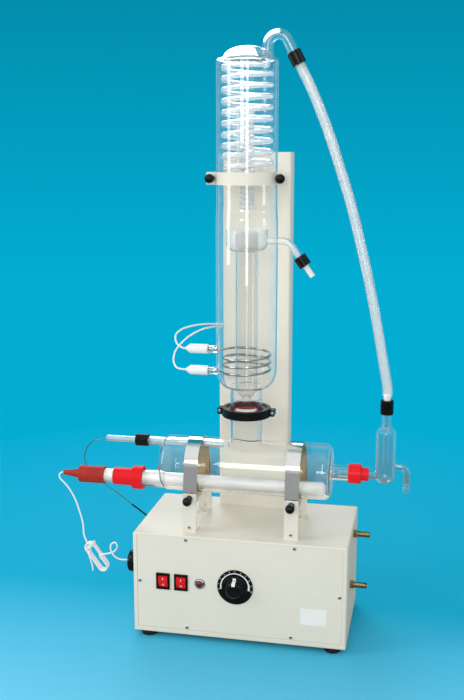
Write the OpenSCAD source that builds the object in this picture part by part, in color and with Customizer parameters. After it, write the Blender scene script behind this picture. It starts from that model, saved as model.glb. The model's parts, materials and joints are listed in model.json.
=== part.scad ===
// Two-stage glass water distiller on a steel cabinet.
// X runs to the right, Y to the back and Z up, all in millimetres.
// Lengths inside the modules are counted from the cabinet's front left corner
// on the bench; placed() then puts the origin under the middle of the footprint.

/* [Cabinet] */
// Width of the cabinet
cabinet_w = 400; // [390:2:450]
// Depth of the cabinet
cabinet_d = 223; // [223:1:260]
// Height of the cabinet without its feet
cabinet_h = 197; // [190:1:230]
// Thickness of the folded sheet
sheet = 2; // [1.5:0.25:3]
// Rounding of the folded edges
edge_r = 4; // [2:0.5:6]
// Visible rim beside the front and rear panels
rim_side = 8; // [6:0.5:10]
// Visible rim below the panels
rim_bottom = 11; // [9:0.5:14]
// Visible rim above the panels
rim_top = 3; // [2.5:0.5:6]
// Width of the ledge that the panels are screwed to
ledge = 12; // [10:1:14]
// Thickness of the front and rear panels
panel_t = 1.5; // [1:0.25:2]
// Radius of a rubber foot
foot_r = 16; // [12:0.5:17]
// Height of a rubber foot
foot_h = 10; // [8:1:16]
// Distance of a foot's centre from the cabinet's sides
foot_side = 25.5; // [22:0.5:40]
// Distance of a foot's centre from the cabinet's front and rear
foot_front = 18; // [17:0.5:40]

/* [Controls] */
// Height of the row of controls above the cabinet's underside
control_z = 105; // [95:1:115]
// Centre of the first rocker switch from the left side
switch_x = 58; // [52:1:64]
// Distance between the rocker switches
switch_pitch = 34.5; // [32:0.5:36]
// Width of a switch bezel
bezel_w = 26; // [24:0.5:27]
// Height of a switch bezel
bezel_h = 31.5; // [30:0.5:33]
// Width of a rocker
rocker_w = 17.5; // [16:0.5:19]
// Height of a rocker
rocker_h = 22; // [20:0.5:24]
// Tilt of a rocker to either side of level
rocker_tilt = 8; // [5:0.5:9]
// Centre of the pilot lamp from the left side
lamp_x = 128; // [122:1:134]
// Outer radius of the pilot lamp's ring
lamp_r = 9.5; // [8:0.5:11]
// Centre of the power dial from the left side
dial_x = 195; // [185:1:215]
// Outer radius of the dial plate
dial_r = 33.5; // [30:0.5:38]
// Thickness of the dial plate
dial_t = 2; // [1.5:0.5:3]
// Radius of the power knob's skirt
knob_r = 23; // [20:0.5:26]
// Radius of the power knob's grip
grip_r = 15.5; // [12:0.5:17]
// Height of the power knob
knob_h = 17; // [14:1:20]
// Radius of the regulator's spindle
spindle_r = 3; // [2.5:0.25:4]

/* [Fittings] */
// Radius of the lead bushing on the left side
bushing_r = 20.5; // [18:0.5:22]
// How far the lead bushing stands out
bushing_out = 17; // [12:0.5:20]
// Lead bushing's distance from the front
bushing_y = 30; // [28:0.5:36]
// Lead bushing's height above the cabinet's underside
bushing_z = 127.5; // [110:0.5:140]
// Front hose tail's distance from the front
tail_front = 67; // [60:1:75]
// Distance from the front hose tail to the rear one
tail_apart = 56; // [50:1:60]
// Rear hose tail's distance below the cabinet's top
tail_down = 19; // [18:1:24]
// Height of the rear hose tail above the front one
tail_rise = 78; // [70:1:85]
// Radius over a hose tail's barbs
tail_r = 6; // [5:0.25:7]
// Length of a hose tail's barbed part
tail_len = 24; // [20:1:30]
// Width across flats of a hose tail's hexagon
tail_hex = 14; // [13:0.5:17]
// Radius of the bore in the mains gland
gland_bore = 4.5; // [3.5:0.25:5]

/* [Stand] */
// Column axis from the cabinet's left side
still_x = 199; // [195:1:205]
// Column and boiler axis from the cabinet's front
still_y = 86; // [84:1:90]
// Left edge of the back plate from the cabinet's left side
plate_x = 127; // [123:1:131]
// Width of the back plate
plate_w = 137; // [130:1:145]
// Height of the back plate above the cabinet
plate_h = 693; // [650:1:720]
// Depth of the back plate's folded sides
plate_side = 40; // [30:1:40]
// Distance of the back plate's face from the column axis
plate_back = 94; // [90:1:96]
// Height of the column clamp above the column's waist
strap_up = 49.5; // [42:0.5:56]
// Width of the strips that hold the glass
strip_w = 26; // [22:1:30]
// Width of the strip round the column
strap_w = 22; // [18:1:26]
// Thickness of the painted strips
strip_t = 3; // [2:0.5:4]
// Distance between the two boiler supports
saddle_span = 190; // [170:2:200]
// Distance of a support's legs from the boiler axis
leg_out = 61; // [59:0.5:63]
// Thickness of the steel bands
band_t = 0.8; // [0.6:0.1:1.2]
// Thickness of the silicone liner under the bands
liner_t = 1; // [0.6:0.1:1.5]
// Radius of a clamping ball knob
ball_r = 8.5; // [8:0.5:10]
// Radius of the studs that carry the ball knobs
stud_r = 2.5; // [2:0.25:3]

/* [Boiler] */
// Outer radius of the boiler
boiler_r = 52; // [50:0.5:54]
// Boiler axis above the cabinet
boiler_rise = 112.5; // [110:0.5:120]
// Length of the boiler to the left of the column axis
boiler_left = 160.5; // [154:0.5:166]
// Length of the boiler to the right of the column axis
boiler_right = 161; // [155:1:170]
// Wall of the large glass vessels
glass = 2.8; // [2:0.1:3.5]
// Wall of the small glass tubes
tube_wall = 1.4; // [1:0.1:2]
// Height from the boiler axis to the flange joint
boiler_neck = 108; // [104:0.5:112]
// Outer radius of the boiler's and column's necks
neck_r = 29.5; // [26:0.5:32]
// Outer radius of the ground flanges
flange_r = 41; // [40:0.5:42]
// Thickness of a glass flange
flange_t = 5; // [4.5:0.5:6]
// Thickness of the flange gasket
gasket_t = 2; // [1:0.5:3]

/* [Immersion heater] */
// Outer radius of the quartz sheath
sheath_r = 13.3; // [12:0.1:13.5]
// Heater axis below the boiler axis
heater_drop = 35; // [34:0.25:35]
// Outer radius of the boiler's heater neck
heater_neck_r = 16.5; // [16:0.25:16.5]
// Length of the heater neck
heater_neck_len = 54; // [50:1:58]
// Radius of the heater cap's threaded part
heater_cap_r = 22.5; // [21:0.25:24]
// Length of the heater cap's threaded part
heater_cap_len = 21; // [19:0.5:24]
// Radius of the heater cap's hub
heater_hub_r = 16.8; // [16:0.25:18]
// Length of the heater cap's hub
heater_hub_len = 38; // [35:0.5:41]
// Outer radius of the heater's silicone boot
boot_r = 16.7; // [15:0.1:17.5]
// Length of the boot's straight part
boot_len = 52; // [47:0.5:56]
// Length of the boot's tapered nose
boot_nose = 34; // [30:0.5:37]

/* [Temperature sensor] */
// Outer radius of the sensor tube
sensor_r = 5.8; // [5:0.1:6]
// Sensor tube's axis above the boiler axis
sensor_rise = 40.5; // [39:0.25:40.5]
// Outer radius of the sensor neck
sensor_neck_r = 8.3; // [8:0.1:8.4]
// Radius of the sensor's screw cap
sensor_cap_r = 11.4; // [11:0.1:12.5]
// Length of the sensor's screw cap
sensor_cap_len = 25; // [22:0.5:27]

/* [Level vessel] */
// Outer radius of the boiler's inlet neck
inlet_neck_r = 14; // [13:0.25:15]
// Length of the boiler's inlet neck
inlet_neck_len = 50; // [46:0.5:52]
// Radius of the inlet cap's threaded part
inlet_cap_r = 18.5; // [17.5:0.25:19.5]
// Length of the inlet cap's threaded part
inlet_cap_len = 23; // [20:0.5:25]
// Radius of the inlet cap's hub
inlet_hub_r = 12.3; // [11:0.1:13]
// Length of the inlet cap's hub
inlet_hub_len = 13.5; // [12:0.5:16]
// Outer radius of the inlet tube
inlet_r = 7.3; // [6.5:0.1:7.8]
// Level vessel's axis from the column axis
level_x = 258; // [256:0.5:264]
// Outer radius of the level vessel
level_r = 17.6; // [16:0.1:19]
// Bottom of the level vessel below the boiler axis
level_low = 14.5; // [14:0.5:18]
// Top of the level vessel above the boiler axis
level_high = 90; // [84:0.5:96]
// Outer radius of the level vessel's neck
level_neck_r = 8; // [7.5:0.1:8.5]
// Length of the level vessel's neck
level_neck_len = 34; // [30:0.5:36]
// Outer radius of the overflow arm
overflow_r = 6.2; // [5:0.1:6.5]
// Overflow arm's height above the boiler axis
overflow_rise = 19; // [18:0.5:26]
// Reach of the overflow arm from the level vessel's axis
overflow_reach = 39.5; // [38:0.5:42]
// Length of the overflow's outlet below its bend
overflow_drop = 34.5; // [30:0.5:38]

/* [Column] */
// Length of the column's lower neck above the joint
column_neck = 42.5; // [40:0.5:46]
// Height of the shoulder above the neck
shoulder_h = 40; // [34:0.5:44]
// Outer radius of the lower vessel
vessel_r = 56; // [54:0.5:57]
// Top of the wide vessel above the joint
vessel_top = 352; // [342:1:360]
// Height of the taper between vessel and condenser
waist_h = 25; // [20:1:30]
// Outer radius of the condenser
condenser_r = 54.5; // [53:0.25:55]
// Top of the condenser's wall above the joint
condenser_top = 632; // [626:1:645]
// Rise of the domed top
dome_rise = 21; // [15:0.5:24]
// Radius of the domed top
dome_r = 43; // [40:0.5:45]
// Outer radius of the vapour riser
riser_r = 20.5; // [18:0.5:22]
// Outer radius of the collecting cup
cup_r = 38; // [34:0.5:40]
// Bottom of the collecting cup above the joint
cup_low = 297; // [292:1:303]
// Height of the collecting cup
cup_h = 40; // [37:1:44]
// Radius of the cup's rounded bottom
cup_round = 17; // [13:0.5:17]
// Height of the product arm above the cup's bottom
product_up = 19.5; // [16:0.5:22]
// Outer radius of the product arm
product_r = 6.2; // [5.5:0.1:6.5]
// Tilt of the product outlet below level
product_tilt = 55; // [50:1:65]
// Radius of a small screw cap
small_cap_r = 11.8; // [11:0.1:12.5]
// Length of the product cap
product_cap_len = 20; // [18:0.5:22]
// Radius of the product nozzle
nozzle_r = 5; // [4.5:0.1:5.3]
// Length of the product nozzle's free end
nozzle_len = 23; // [18:0.5:28]

/* [Coils] */
// Mean radius of the outer condenser coil
coil_r = 42.5; // [41:0.25:43]
// Radius of the outer coil's tube
coil_tube = 4.5; // [4:0.1:4.8]
// Rise of the outer coil in each turn
coil_pitch = 19; // [16:0.5:19]
// Turns of the outer coil
coil_turns = 9; // [7:1:9]
// Mean radius of the inner condenser coil
core_r = 10.5; // [9.5:0.25:11.5]
// Radius of the inner coil's tube
core_tube = 3.1; // [2.6:0.1:3.4]
// Rise of the inner coil in each turn
core_pitch = 8.5; // [7.5:0.25:8.5]
// Turns of the inner coil
core_turns = 20; // [12:1:20]
// Mean radius of the spiral heater
spiral_r = 43.5; // [40:0.5:45]
// Radius of the spiral heater's tube
spiral_tube = 2.3; // [1.8:0.1:2.6]
// Rise of the spiral heater in each turn
spiral_pitch = 13.5; // [12:0.25:15]
// Turns of the spiral heater
spiral_turns = 3; // [2:1:3]
// Lower end of the spiral heater above the joint
spiral_low = 74.5; // [71:0.5:81]

/* [Arch and hose] */
// Outer radius of the glass arch and of the hose
arch_r = 9.3; // [8.8:0.1:9.5]
// Arch's foot from the column axis
arch_x = 36; // [34:0.5:36]
// Radius of the arch's bend
arch_bend = 18; // [16:0.5:20]
// Height of the arch's foot
arch_rise = 21; // [19:0.5:24]
// Tilt of the arch's outlet away from upright
arch_tilt = 27.6; // [25:0.1:30]
// Straight length after the bend
arch_run = 22.5; // [20:0.5:26]
// Radius of the arch's screw cap
arch_cap_r = 12.6; // [12:0.1:13.5]
// Length of the arch's screw cap
arch_cap_len = 24; // [22:0.5:26]

/* [Hidden] */
$fn = 64;
// Gap round a piece that is only guided
ease = 0.3;
// Gap of a running fit
run = 0.05;
// Overlap of joined or cut shapes
over = 1;
// Steps of a drawn arc
round_n = 10;
// Step between the panels and the cabinet's edges
recess = 0.5;

deck = foot_h + cabinet_h;
axis_z = deck + boiler_rise;
joint_z = axis_z + boiler_neck;
frame_t = panel_t + recess + sheet;
panel_gap = 0.4;

// Places along the immersion heater, from the boiler's left end outwards
boiler_x0 = still_x - boiler_left;
boiler_x1 = still_x + boiler_right;
heater_z = axis_z - heater_drop;
cap_face_x = boiler_x0 - heater_neck_len + 14;
hub_x = cap_face_x - heater_cap_len;
hub_end_x = hub_x - heater_hub_len;
boot_x = hub_end_x - 19;
boot_end_x = boot_x - boot_len;
nose_x = boot_end_x - boot_nose;

// Places along the level vessel
inlet_face_x = boiler_x1 + inlet_neck_len - 19;
inlet_hub_x = inlet_face_x + inlet_cap_len;
level_axis = still_x + level_x;
overflow_edge = level_axis + overflow_reach + overflow_r + 1;

// Column heights
neck_top = joint_z + column_neck;
shoulder_top = neck_top + shoulder_h;
waist_z = joint_z + vessel_top;
strap_z = waist_z + waist_h - deck + strap_up;
tail_y = [tail_front, tail_front + tail_apart];
tail_z = [cabinet_h - tail_down - tail_rise, cabinet_h - tail_down];
top_z = joint_z + condenser_top;
cup_z = joint_z + cup_low;
product_z = cup_z + product_up;
spiral_z = joint_z + spiral_low;
spiral_top = spiral_z + spiral_turns * spiral_pitch;

boot_tip_x = still_x - vessel_r - 16 - 43.4;

// Dial, clamp and knob places
knob_front = recess - dial_t - ease - knob_h;
band_knob_z = axis_z - 48;
ear_x = 63;
ear_y = still_y - 8;
ball_neck = 9;
gland_out = 16;
sensor_z = axis_z + sensor_rise;
sensor_face = boiler_x0 - 29;
sensor_out = sensor_face - sensor_cap_len;
sensor_start = sensor_out - 59;
sensor_end = still_x - 32;
hose_foot = axis_z + level_high + level_neck_len + 27.5;

// The origin stands under the middle of the rigid pieces
mid_x = (nose_x + overflow_edge) / 2;
mid_y = (knob_front + cabinet_d + gland_out) / 2;

module placed() translate([-mid_x, -mid_y, 0]) children();

// ---------- Routes of the free cords, from the cabinet's corner ----------
lead_r = 1.65;
cable_r = 1.5;
capillary_r = 0.9;
sleeve_r = 1.6;
function arch_out(q) = [
    still_x + arch_x + arch_bend * (1 + cos(arch_tilt)) + q * sin(arch_tilt), still_y,
    top_z + arch_rise + arch_bend * sin(arch_tilt) - q * cos(arch_tilt)
];
hose_start = arch_run + arch_cap_len + 0.1;
hose_route = concat(
    [arch_out(hose_start), arch_out(hose_start + 12)],
    [for (p = [
        [309, 1012], [327, 972], [345, 926], [363, 874], [382, 816], [400, 750], [416, 686], [430, 623],
            [442, 563],
        [450, 520], [455, 495]
    ]) [p[0], still_y, p[1]]],
    [[level_axis, still_y, hose_foot + 12], [level_axis, still_y, hose_foot]]
);
upper_route = [
    [boot_tip_x - 0.1, still_y, spiral_top], [77, 86, 543], [65, 90, 551], [61, 100, 564], [70, 114, 573],
        [86, 131, 577],
    [100, 150, 577], [109, 168, 575], [115, 182, 572.5], [120, 188, 572], [plate_x - 1.2, 188, 572]
];
lower_route = [
    [boot_tip_x - 0.1, still_y, spiral_z], [77, 86, 502], [64, 91, 504], [56, 100, 515], [57, 109, 530],
        [65, 118, 543],
    [77, 129, 555], [90, 143, 563], [101, 159, 567], [109, 175, 567], [115, 189, 566.5], [120, 194, 566],
        [plate_x - 1.2, 194, 566]
];
grommet_y = 191;
grommet_z = 569;
// The heater lead drops from the boot to a tied hank and loops back to the bushing
drop_route = [
    [nose_x, 86, 284.5], [-170.5, 86, 283.5], [-174.5, 85.5, 279], [-173, 84.5, 272], [-164, 82, 265],
    [-153.5, 78.5, 256], [-144.5, 75, 245], [-136, 71, 232], [-127, 66, 212], [-120.5, 62, 194],
    [-118, 59.5, 178], [-116.5, 58, 167]
];
hank_mid = [-88, 0, 132];
hank_turns = 3;
hank_r = 9;
hank_side = 22;
hank_tilt = 54;
hank_back = 56;
hank_pitch = 4.2;
tail_route = [
    [-65, 40, 142], [-53, 36, 147], [-44, 32, 155], [-40, 29, 165], [-44, 27, 172], [-51, 25.5, 168],
        [-52, 25, 158],
    [-47, 25.5, 147], [-39, 27, 140], [-31, 29, 137.5], [-24, bushing_y, bushing_z + foot_h],
    [-bushing_out, bushing_y, bushing_z + foot_h]
];
bulb_r = 3.2;
bulb_end = sensor_end - 100;
bulb_z = sensor_z - sensor_r + 1.2 + bulb_r + 0.1;
capillary_route = [
    [bulb_end, 86, bulb_z], [bulb_end - 6, 86, bulb_z], [40, 86, 357], [-20, 86, 356.4], [-70, 86, 356.4],
    [-79, 86, 356.3], [-90, 87, 354.8], [-103, 90, 351], [-115, 95, 341], [-123, 100, 328], [-128, 104, 314],
    [-127.5, 108, 298], [-118, 110, 283], [-104, 111, 270], [-89, 111, 256], [-73, 113, 245], [-58, 117, 232]
];
sleeve_route = [
    [-39, 125, 213], [-38.6, 125.2, 212.6], [-28, 131, 202], [-19, 138.5, 191], [-13, 144.5, 182],
    [-8.5, 148.8, 176.8], [-4.8, 150, 175], [-1.3, 150, 175]
];
sleeve_y = 150;
sleeve_z = 175;

// ---------- Helpers ----------
function unit(v) = v / norm(v);
function tangent(p, i) = unit(p[min(i + 1, len(p) - 1)] - p[max(i - 1, 0)]);
function square_to(n, t) = unit(n - (n * t) * t);
function arc(cx, cy, r, a0, a1, n = round_n) =
    [for (i = [0:n]) let (a = a0 + (a1 - a0) * i / n) [cx + r * cos(a), cy + r * sin(a)]];
function low_gap(points, reach, skip) =
    min([for (i = [0:len(points) - 1 - skip], j = [i + skip:min(i + reach, len(points) - 1)])
        norm(points[i] - points[j])]);

// A round tube swept along points, closed at both ends; r is one radius or one for each point
module swept(points, r, sides, start = [0, 0, 1]) {
    n = len(points);
    radii = is_list(r) ? r : [for (p = points) r];
    t = [for (i = [0:n - 1]) tangent(points, i)];
    u = [for (i = 0, v = square_to(start, t[0]); i < n; i = i + 1, v = i < n ? square_to(v, t[i]) : v) v];
    rings = [
        for (i = [0:n - 1], k = [0:sides - 1])
            let (a = 360 * k / sides)
            points[i] + radii[i] * (cos(a) * u[i] + sin(a) * cross(t[i], u[i]))
    ];
    walls = [
        for (i = [0:n - 2], k = [0:sides - 1], half = [0, 1])
            let (a = i * sides + k, b = i * sides + (k + 1) % sides)
            half == 0 ? [a, b + sides, b] : [a, a + sides, b + sides]
    ];
    first = [for (k = [1:sides - 2]) [0, k, k + 1]];
    last = [for (k = [1:sides - 2]) [(n - 1) * sides, (n - 1) * sides + k + 1, (n - 1) * sides + k]];
    polyhedron(rings, concat(walls, first, last), convexity = 10);
}

module rounded_rect(w, h, r) {
    translate([r, 0]) square([w - 2 * r, h]);
    translate([0, r]) square([w, h - 2 * r]);
    for (x = [r, w - r], y = [r, h - r]) translate([x, y]) circle(r);
}

module rounded_block(w, d, h, r) intersection() {
    linear_extrude(h) rounded_rect(w, d, r);
    translate([0, d, 0]) rotate([90, 0, 0]) linear_extrude(d) rounded_rect(w, h, r);
    rotate([90, 0, 90]) linear_extrude(w) rounded_rect(d, h, r);
}

// Turns a piece drawn along +Z so that it runs along +X, -X, +Y or -Y
module along_x() rotate([0, 90, 0]) children();
module along_minus_x() rotate([0, -90, 0]) children();
module along_y() rotate([-90, 0, 0]) children();
module along_minus_y() rotate([90, 0, 0]) children();

// A bent rod: straight along +Z, a bend towards +X, then straight. The bend runs on inside the straight
// parts by lap; grow makes the straight parts that much wider
module bent_rod(run_in, bend, turn, run_out, r, lap = 0, grow = 0, tail = 0) {
    translate([0, 0, -tail]) cylinder(h = run_in + tail + (lap > 0 ? 0 : over), r = r + grow);
    translate([bend, 0, run_in]) rotate([90, 0, 0]) rotate(180 - turn - lap)
        rotate_extrude(angle = turn + 2 * lap)
        translate([bend, 0]) circle(r);
    after_bend(run_in, bend, turn) translate([0, 0, lap > 0 ? 0 : -over])
        cylinder(h = run_out + tail + (lap > 0 ? 0 : over), r = r + grow);
}
module after_bend(run_in, bend, turn) translate([bend * (1 - cos(turn)), 0, run_in + bend * sin(turn)])
    rotate([0, turn, 0]) children();
bend_lap = 3;
bend_step = 0.12;
module bent_outside(run_in, bend, turn, run_out, r)
    bent_rod(run_in, bend, turn, run_out, r - bend_step, lap = bend_lap, grow = bend_step);
module bent_bore(run_in, bend, turn, run_out, r)
    bent_rod(run_in, bend, turn, run_out, r, grow = -bend_step, tail = over);

module ring(r, bore, h) difference() {
    cylinder(h = h, r = r);
    translate([0, 0, -over]) cylinder(h = h + 2 * over, r = bore);
}

// A screw cap: a threaded part, an optional hub and ribs round the grip
module screw_cap(r, len, neck, bore, hub_r = 0, hub_len = 0, ribs = 24, wall = 2.5) difference() {
    union() {
        rotate_extrude() polygon([[0, 0], [r - 0.8, 0], [r, 0.8], [r, len - 1], [r - 1, len], [0, len]]);
        if (hub_len > 0) translate([0, 0, len - over]) cylinder(h = hub_len + over, r = hub_r);
    }
    translate([0, 0, -over]) cylinder(h = len - wall + over, r = neck);
    translate([0, 0, -over]) cylinder(h = len + hub_len + 2 * over, r = bore);
    for (k = [0:ribs - 1]) rotate(360 * k / ribs) translate([r, 0, 2])
        cylinder(h = len - 4, r = 0.55, $fn = 4);
}

module rocker_place(i) translate([switch_x + i * switch_pitch, 0, foot_h + control_z]) children();

module pan_screw(shank, len, head = 1.75) {
    along_y() cylinder(h = len, r = shank);
    along_minus_y() rotate_extrude() polygon([[0, 0], [shank * head, 0], [shank * head, 0.6],
        [shank * head * 0.75, 1.6], [0, 1.9]]);
}

// ---------- Cabinet ----------
panel_w = cabinet_w - 2 * rim_side;
panel_h = cabinet_h - rim_bottom - rim_top;
screw_r = 2;
screw_in = 5;
screw_spots = [
    [rim_side + 94, rim_bottom + panel_h - screw_in],
        [cabinet_w - rim_side - 88, rim_bottom + panel_h - screw_in],
    [rim_side + 95, rim_bottom + screw_in], [cabinet_w - rim_side - 93, rim_bottom + screw_in],
    [rim_side + screw_in, rim_bottom + panel_h / 2],
        [cabinet_w - rim_side - screw_in, rim_bottom + panel_h / 2]
];
foot_spots = [for (x = [foot_side, cabinet_w - foot_side])
    for (y = [foot_front, cabinet_d - foot_front]) [x, y]];

module panel_cut(depth) {
    translate([rim_side, -over, rim_bottom]) cube([panel_w, frame_t - sheet + over, panel_h]);
    translate([rim_side + ledge, -over, rim_bottom + ledge])
        cube([panel_w - 2 * ledge, depth, panel_h - 2 * ledge]);
    for (s = screw_spots) translate([s[0], 0, s[1]]) along_y() cylinder(h = depth, r = screw_r + 0.2);
}

module from_back() translate([cabinet_w, cabinet_d, 0]) rotate(180) children();

module cabinet_shell() color("ivory") placed() translate([0, 0, foot_h]) difference() {
    rounded_block(cabinet_w, cabinet_d, cabinet_h, edge_r);
    translate([sheet, frame_t, sheet])
        cube([cabinet_w - 2 * sheet, cabinet_d - 2 * frame_t, cabinet_h - 2 * sheet]);
    panel_cut(frame_t + 2 * over);
    from_back() panel_cut(frame_t + 2 * over);
    for (p = foot_spots) translate([p[0], p[1], -over]) cylinder(h = sheet + 2 * over, r = 2.2);
    translate([-over, bushing_y, bushing_z]) along_x()
        cylinder(h = sheet + 2 * over, r = bushing_r - 6 + run);
    translate([-over, sleeve_y, sleeve_z - foot_h]) along_x() cylinder(h = sheet + 2 * over, r = 3 + run);
    for (i = [0, 1]) translate([cabinet_w - sheet - over, tail_y[i], tail_z[i]])
        along_x() cylinder(h = sheet + 2 * over, r = 5 + run);
    for (p = deck_holes) translate([p[0], p[1], cabinet_h - sheet - over])
        cylinder(h = sheet + 2 * over, r = screw_r + 0.2);
}

module front_panel() color("ivory") placed() translate([0, recess, foot_h]) difference() {
    translate([rim_side + panel_gap, 0, rim_bottom + panel_gap])
        cube([panel_w - 2 * panel_gap, panel_t, panel_h - 2 * panel_gap]);
    for (i = [0, 1]) translate([switch_x + i * switch_pitch - switch_body_w / 2, -over,
        control_z - switch_body_h / 2])
        cube([switch_body_w, panel_t + 2 * over, switch_body_h]);
    translate([lamp_x, -over, control_z]) along_y() cylinder(h = panel_t + 2 * over, r = lamp_r - 3 + run);
    translate([dial_x, -over, control_z]) along_y() cylinder(h = panel_t + 2 * over, r = spindle_r + 2 + run);
    for (s = screw_spots) translate([s[0], -over, s[1]]) along_y()
        cylinder(h = panel_t + 2 * over, r = screw_r + 0.2);
}

slot_count = 12;
slot_w = 3;
slot_h = 40;
slot_pitch = 9;
gland_x = 60;
gland_z = 45;

module rear_panel() color("ivory") placed() translate([0, 0, foot_h]) from_back() translate([0, recess, 0])
    difference() {
    translate([rim_side + panel_gap, 0, rim_bottom + panel_gap])
        cube([panel_w - 2 * panel_gap, panel_t, panel_h - 2 * panel_gap]);
    for (k = [0:slot_count - 1]) translate([cabinet_w / 2 + (k - (slot_count - 1) / 2) * slot_pitch, -over,
        control_z])
        along_y() linear_extrude(panel_t + 2 * over) {
            square([slot_w, slot_h], center = true);
            for (e = [-1, 1]) translate([0, e * slot_h / 2]) circle(slot_w / 2);
        }
    translate([gland_x, -over, gland_z]) along_y()
        cylinder(h = panel_t + 2 * over, r = gland_bore + 3.5 + run);
    for (s = screw_spots) translate([s[0], -over, s[1]]) along_y()
        cylinder(h = panel_t + 2 * over, r = screw_r + 0.2);
}

module panel_screws() color("silver") placed() translate([0, 0, foot_h]) {
    for (s = screw_spots) translate([s[0], recess, s[1]]) pan_screw(screw_r, 8);
    from_back() for (s = screw_spots) translate([s[0], recess, s[1]]) pan_screw(screw_r, 8);
}

module feet() color("black") placed() for (p = foot_spots) translate([p[0], p[1], 0]) difference() {
    union() {
        rotate_extrude() polygon([[0, 0], [foot_r - 2, 0], [foot_r - 1, 1], [foot_r, foot_h], [0, foot_h]]);
        translate([0, 0, foot_h - over]) cylinder(h = sheet + over + 3, r = 2);
    }
    translate([0, 0, -over]) cylinder(h = 4 + over, r = 5);
}

// ---------- Controls ----------
switch_body_w = bezel_w - 4;
switch_body_h = bezel_h - 3;
bezel_t = 2.5;
switch_depth = 24;
pivot_in = 3;

module switch_bodies() color("black") placed() for (i = [0, 1]) rocker_place(i) difference() {
    union() {
        translate([-bezel_w / 2, recess - bezel_t, -bezel_h / 2]) cube([bezel_w, bezel_t, bezel_h]);
        translate([-switch_body_w / 2 + run, 0, -switch_body_h / 2 + run])
            cube([switch_body_w - 2 * run, switch_depth, switch_body_h - 2 * run]);
        for (x = [-6, 6], z = [-8, 8]) translate([x - 0.4, switch_depth - over, z - 3])
            cube([0.8, 8 + over, 6]);
    }
    translate([-rocker_w / 2 - ease, -bezel_t - over, -rocker_h / 2 - 1.2])
        cube([rocker_w + 2 * ease, bezel_t + over + 9, rocker_h + 2.4]);
    translate([-switch_body_w / 2 + 0.8, pivot_in, 0]) along_x()
        cylinder(h = switch_body_w - 1.6, r = 1.5 + run);
}

module rocker(side) rotate([side * rocker_tilt, 0, 0]) translate([0, -pivot_in, 0]) {
    difference() {
        translate([-rocker_w / 2, -3.4, -rocker_h / 2]) cube([rocker_w, 8.4, rocker_h]);
        for (s = [-1, 1]) translate([-rocker_w / 2 - over, -3.4, 0]) rotate([s * -9, 0, 0])
            translate([0, -4, s > 0 ? 0 : -rocker_h]) cube([rocker_w + 2 * over, 4, rocker_h]);
    }
    translate([-switch_body_w / 2 + 1, pivot_in, 0]) along_x() cylinder(h = switch_body_w - 2, r = 1.5);
}
module rocker_left() color("red") placed() rocker_place(0) translate([0, pivot_in, 0]) rocker(1);
module rocker_right() color("red") placed() rocker_place(1) translate([0, pivot_in, 0]) rocker(1);

lamp_shank = 18;
module lamp_place() translate([lamp_x, recess, foot_h + control_z]) children();
module lamp_bezel() color("gainsboro") placed() lamp_place() {
    along_minus_y() rotate_extrude() polygon([[lamp_r - 3.5, 0], [lamp_r, 0], [lamp_r, 1.2],
        [lamp_r - 1.5, 3],
        [lamp_r - 3.5, 3]]);
    along_y() ring(lamp_r - 3, lamp_r - 5, lamp_shank);
}
module lamp_lens() color("darkred") placed() lamp_place() {
    along_y() cylinder(h = 5, r = lamp_r - 5 - run);
    along_minus_y() rotate_extrude() polygon(concat([[0, 0]],
        [for (i = [0:8]) [(lamp_r - 3.5 - run) * cos(i * 11.25), 2.2 + 3.6 * sin(i * 11.25)]]));
    along_minus_y() cylinder(h = 2.2, r = lamp_r - 3.5 - run);
}

module dial_place() translate([dial_x, recess, foot_h + control_z]) children();
module dial_plate() color("black") placed() dial_place() along_minus_y() difference() {
    rotate_extrude() polygon([[spindle_r + 3, 0], [dial_r, 0], [dial_r, dial_t - 0.6], [dial_r - 0.6, dial_t],
        [spindle_r + 3, dial_t]]);
    for (a = [45, 225]) rotate(a) translate([spindle_r + 9, 0, -over])
        cylinder(h = dial_t + 2 * over, r = 1.6);
}

module regulator_knob() color("black") placed() dial_place() {
    along_minus_y() translate([0, 0, dial_t + ease]) difference() {
        union() {
            rotate_extrude() polygon([[0, 0], [knob_r, 0], [knob_r, 2], [knob_r - 1.5, 4], [grip_r + 1.5, 5],
                [grip_r, 7], [grip_r - 1, knob_h - 2], [grip_r - 3, knob_h], [0, knob_h]]);
            translate([-3, 0, 2.5]) cube([6, knob_r - 3, 3.2]);
        }
        for (k = [0:23]) rotate(7.5 + 15 * k) translate([grip_r + 0.2, 0, 7.8])
            cylinder(h = knob_h, r = 0.9, $fn = 6);
        translate([-1, grip_r - 11, knob_h - 0.6]) cube([2, 7, over]);
    }
    along_minus_y() translate([0, 0, -12]) cylinder(h = 12 + dial_t + ease + over, r = spindle_r);
}

reg_w = 44;
reg_d = 32;
module energy_regulator() color("dimgray") placed() dial_place() difference() {
    union() {
        translate([-reg_w / 2, panel_t, -reg_w / 2]) cube([reg_w, reg_d, reg_w]);
        along_y() cylinder(h = panel_t + over, r = spindle_r + 2);
        for (x = [-15, -5, 5, 15]) translate([x - 0.4, panel_t + reg_d - over, -4]) cube([0.8, 9, 6]);
    }
    along_y() translate([0, 0, -over]) cylinder(h = 16 + over, r = spindle_r + run);
}

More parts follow.
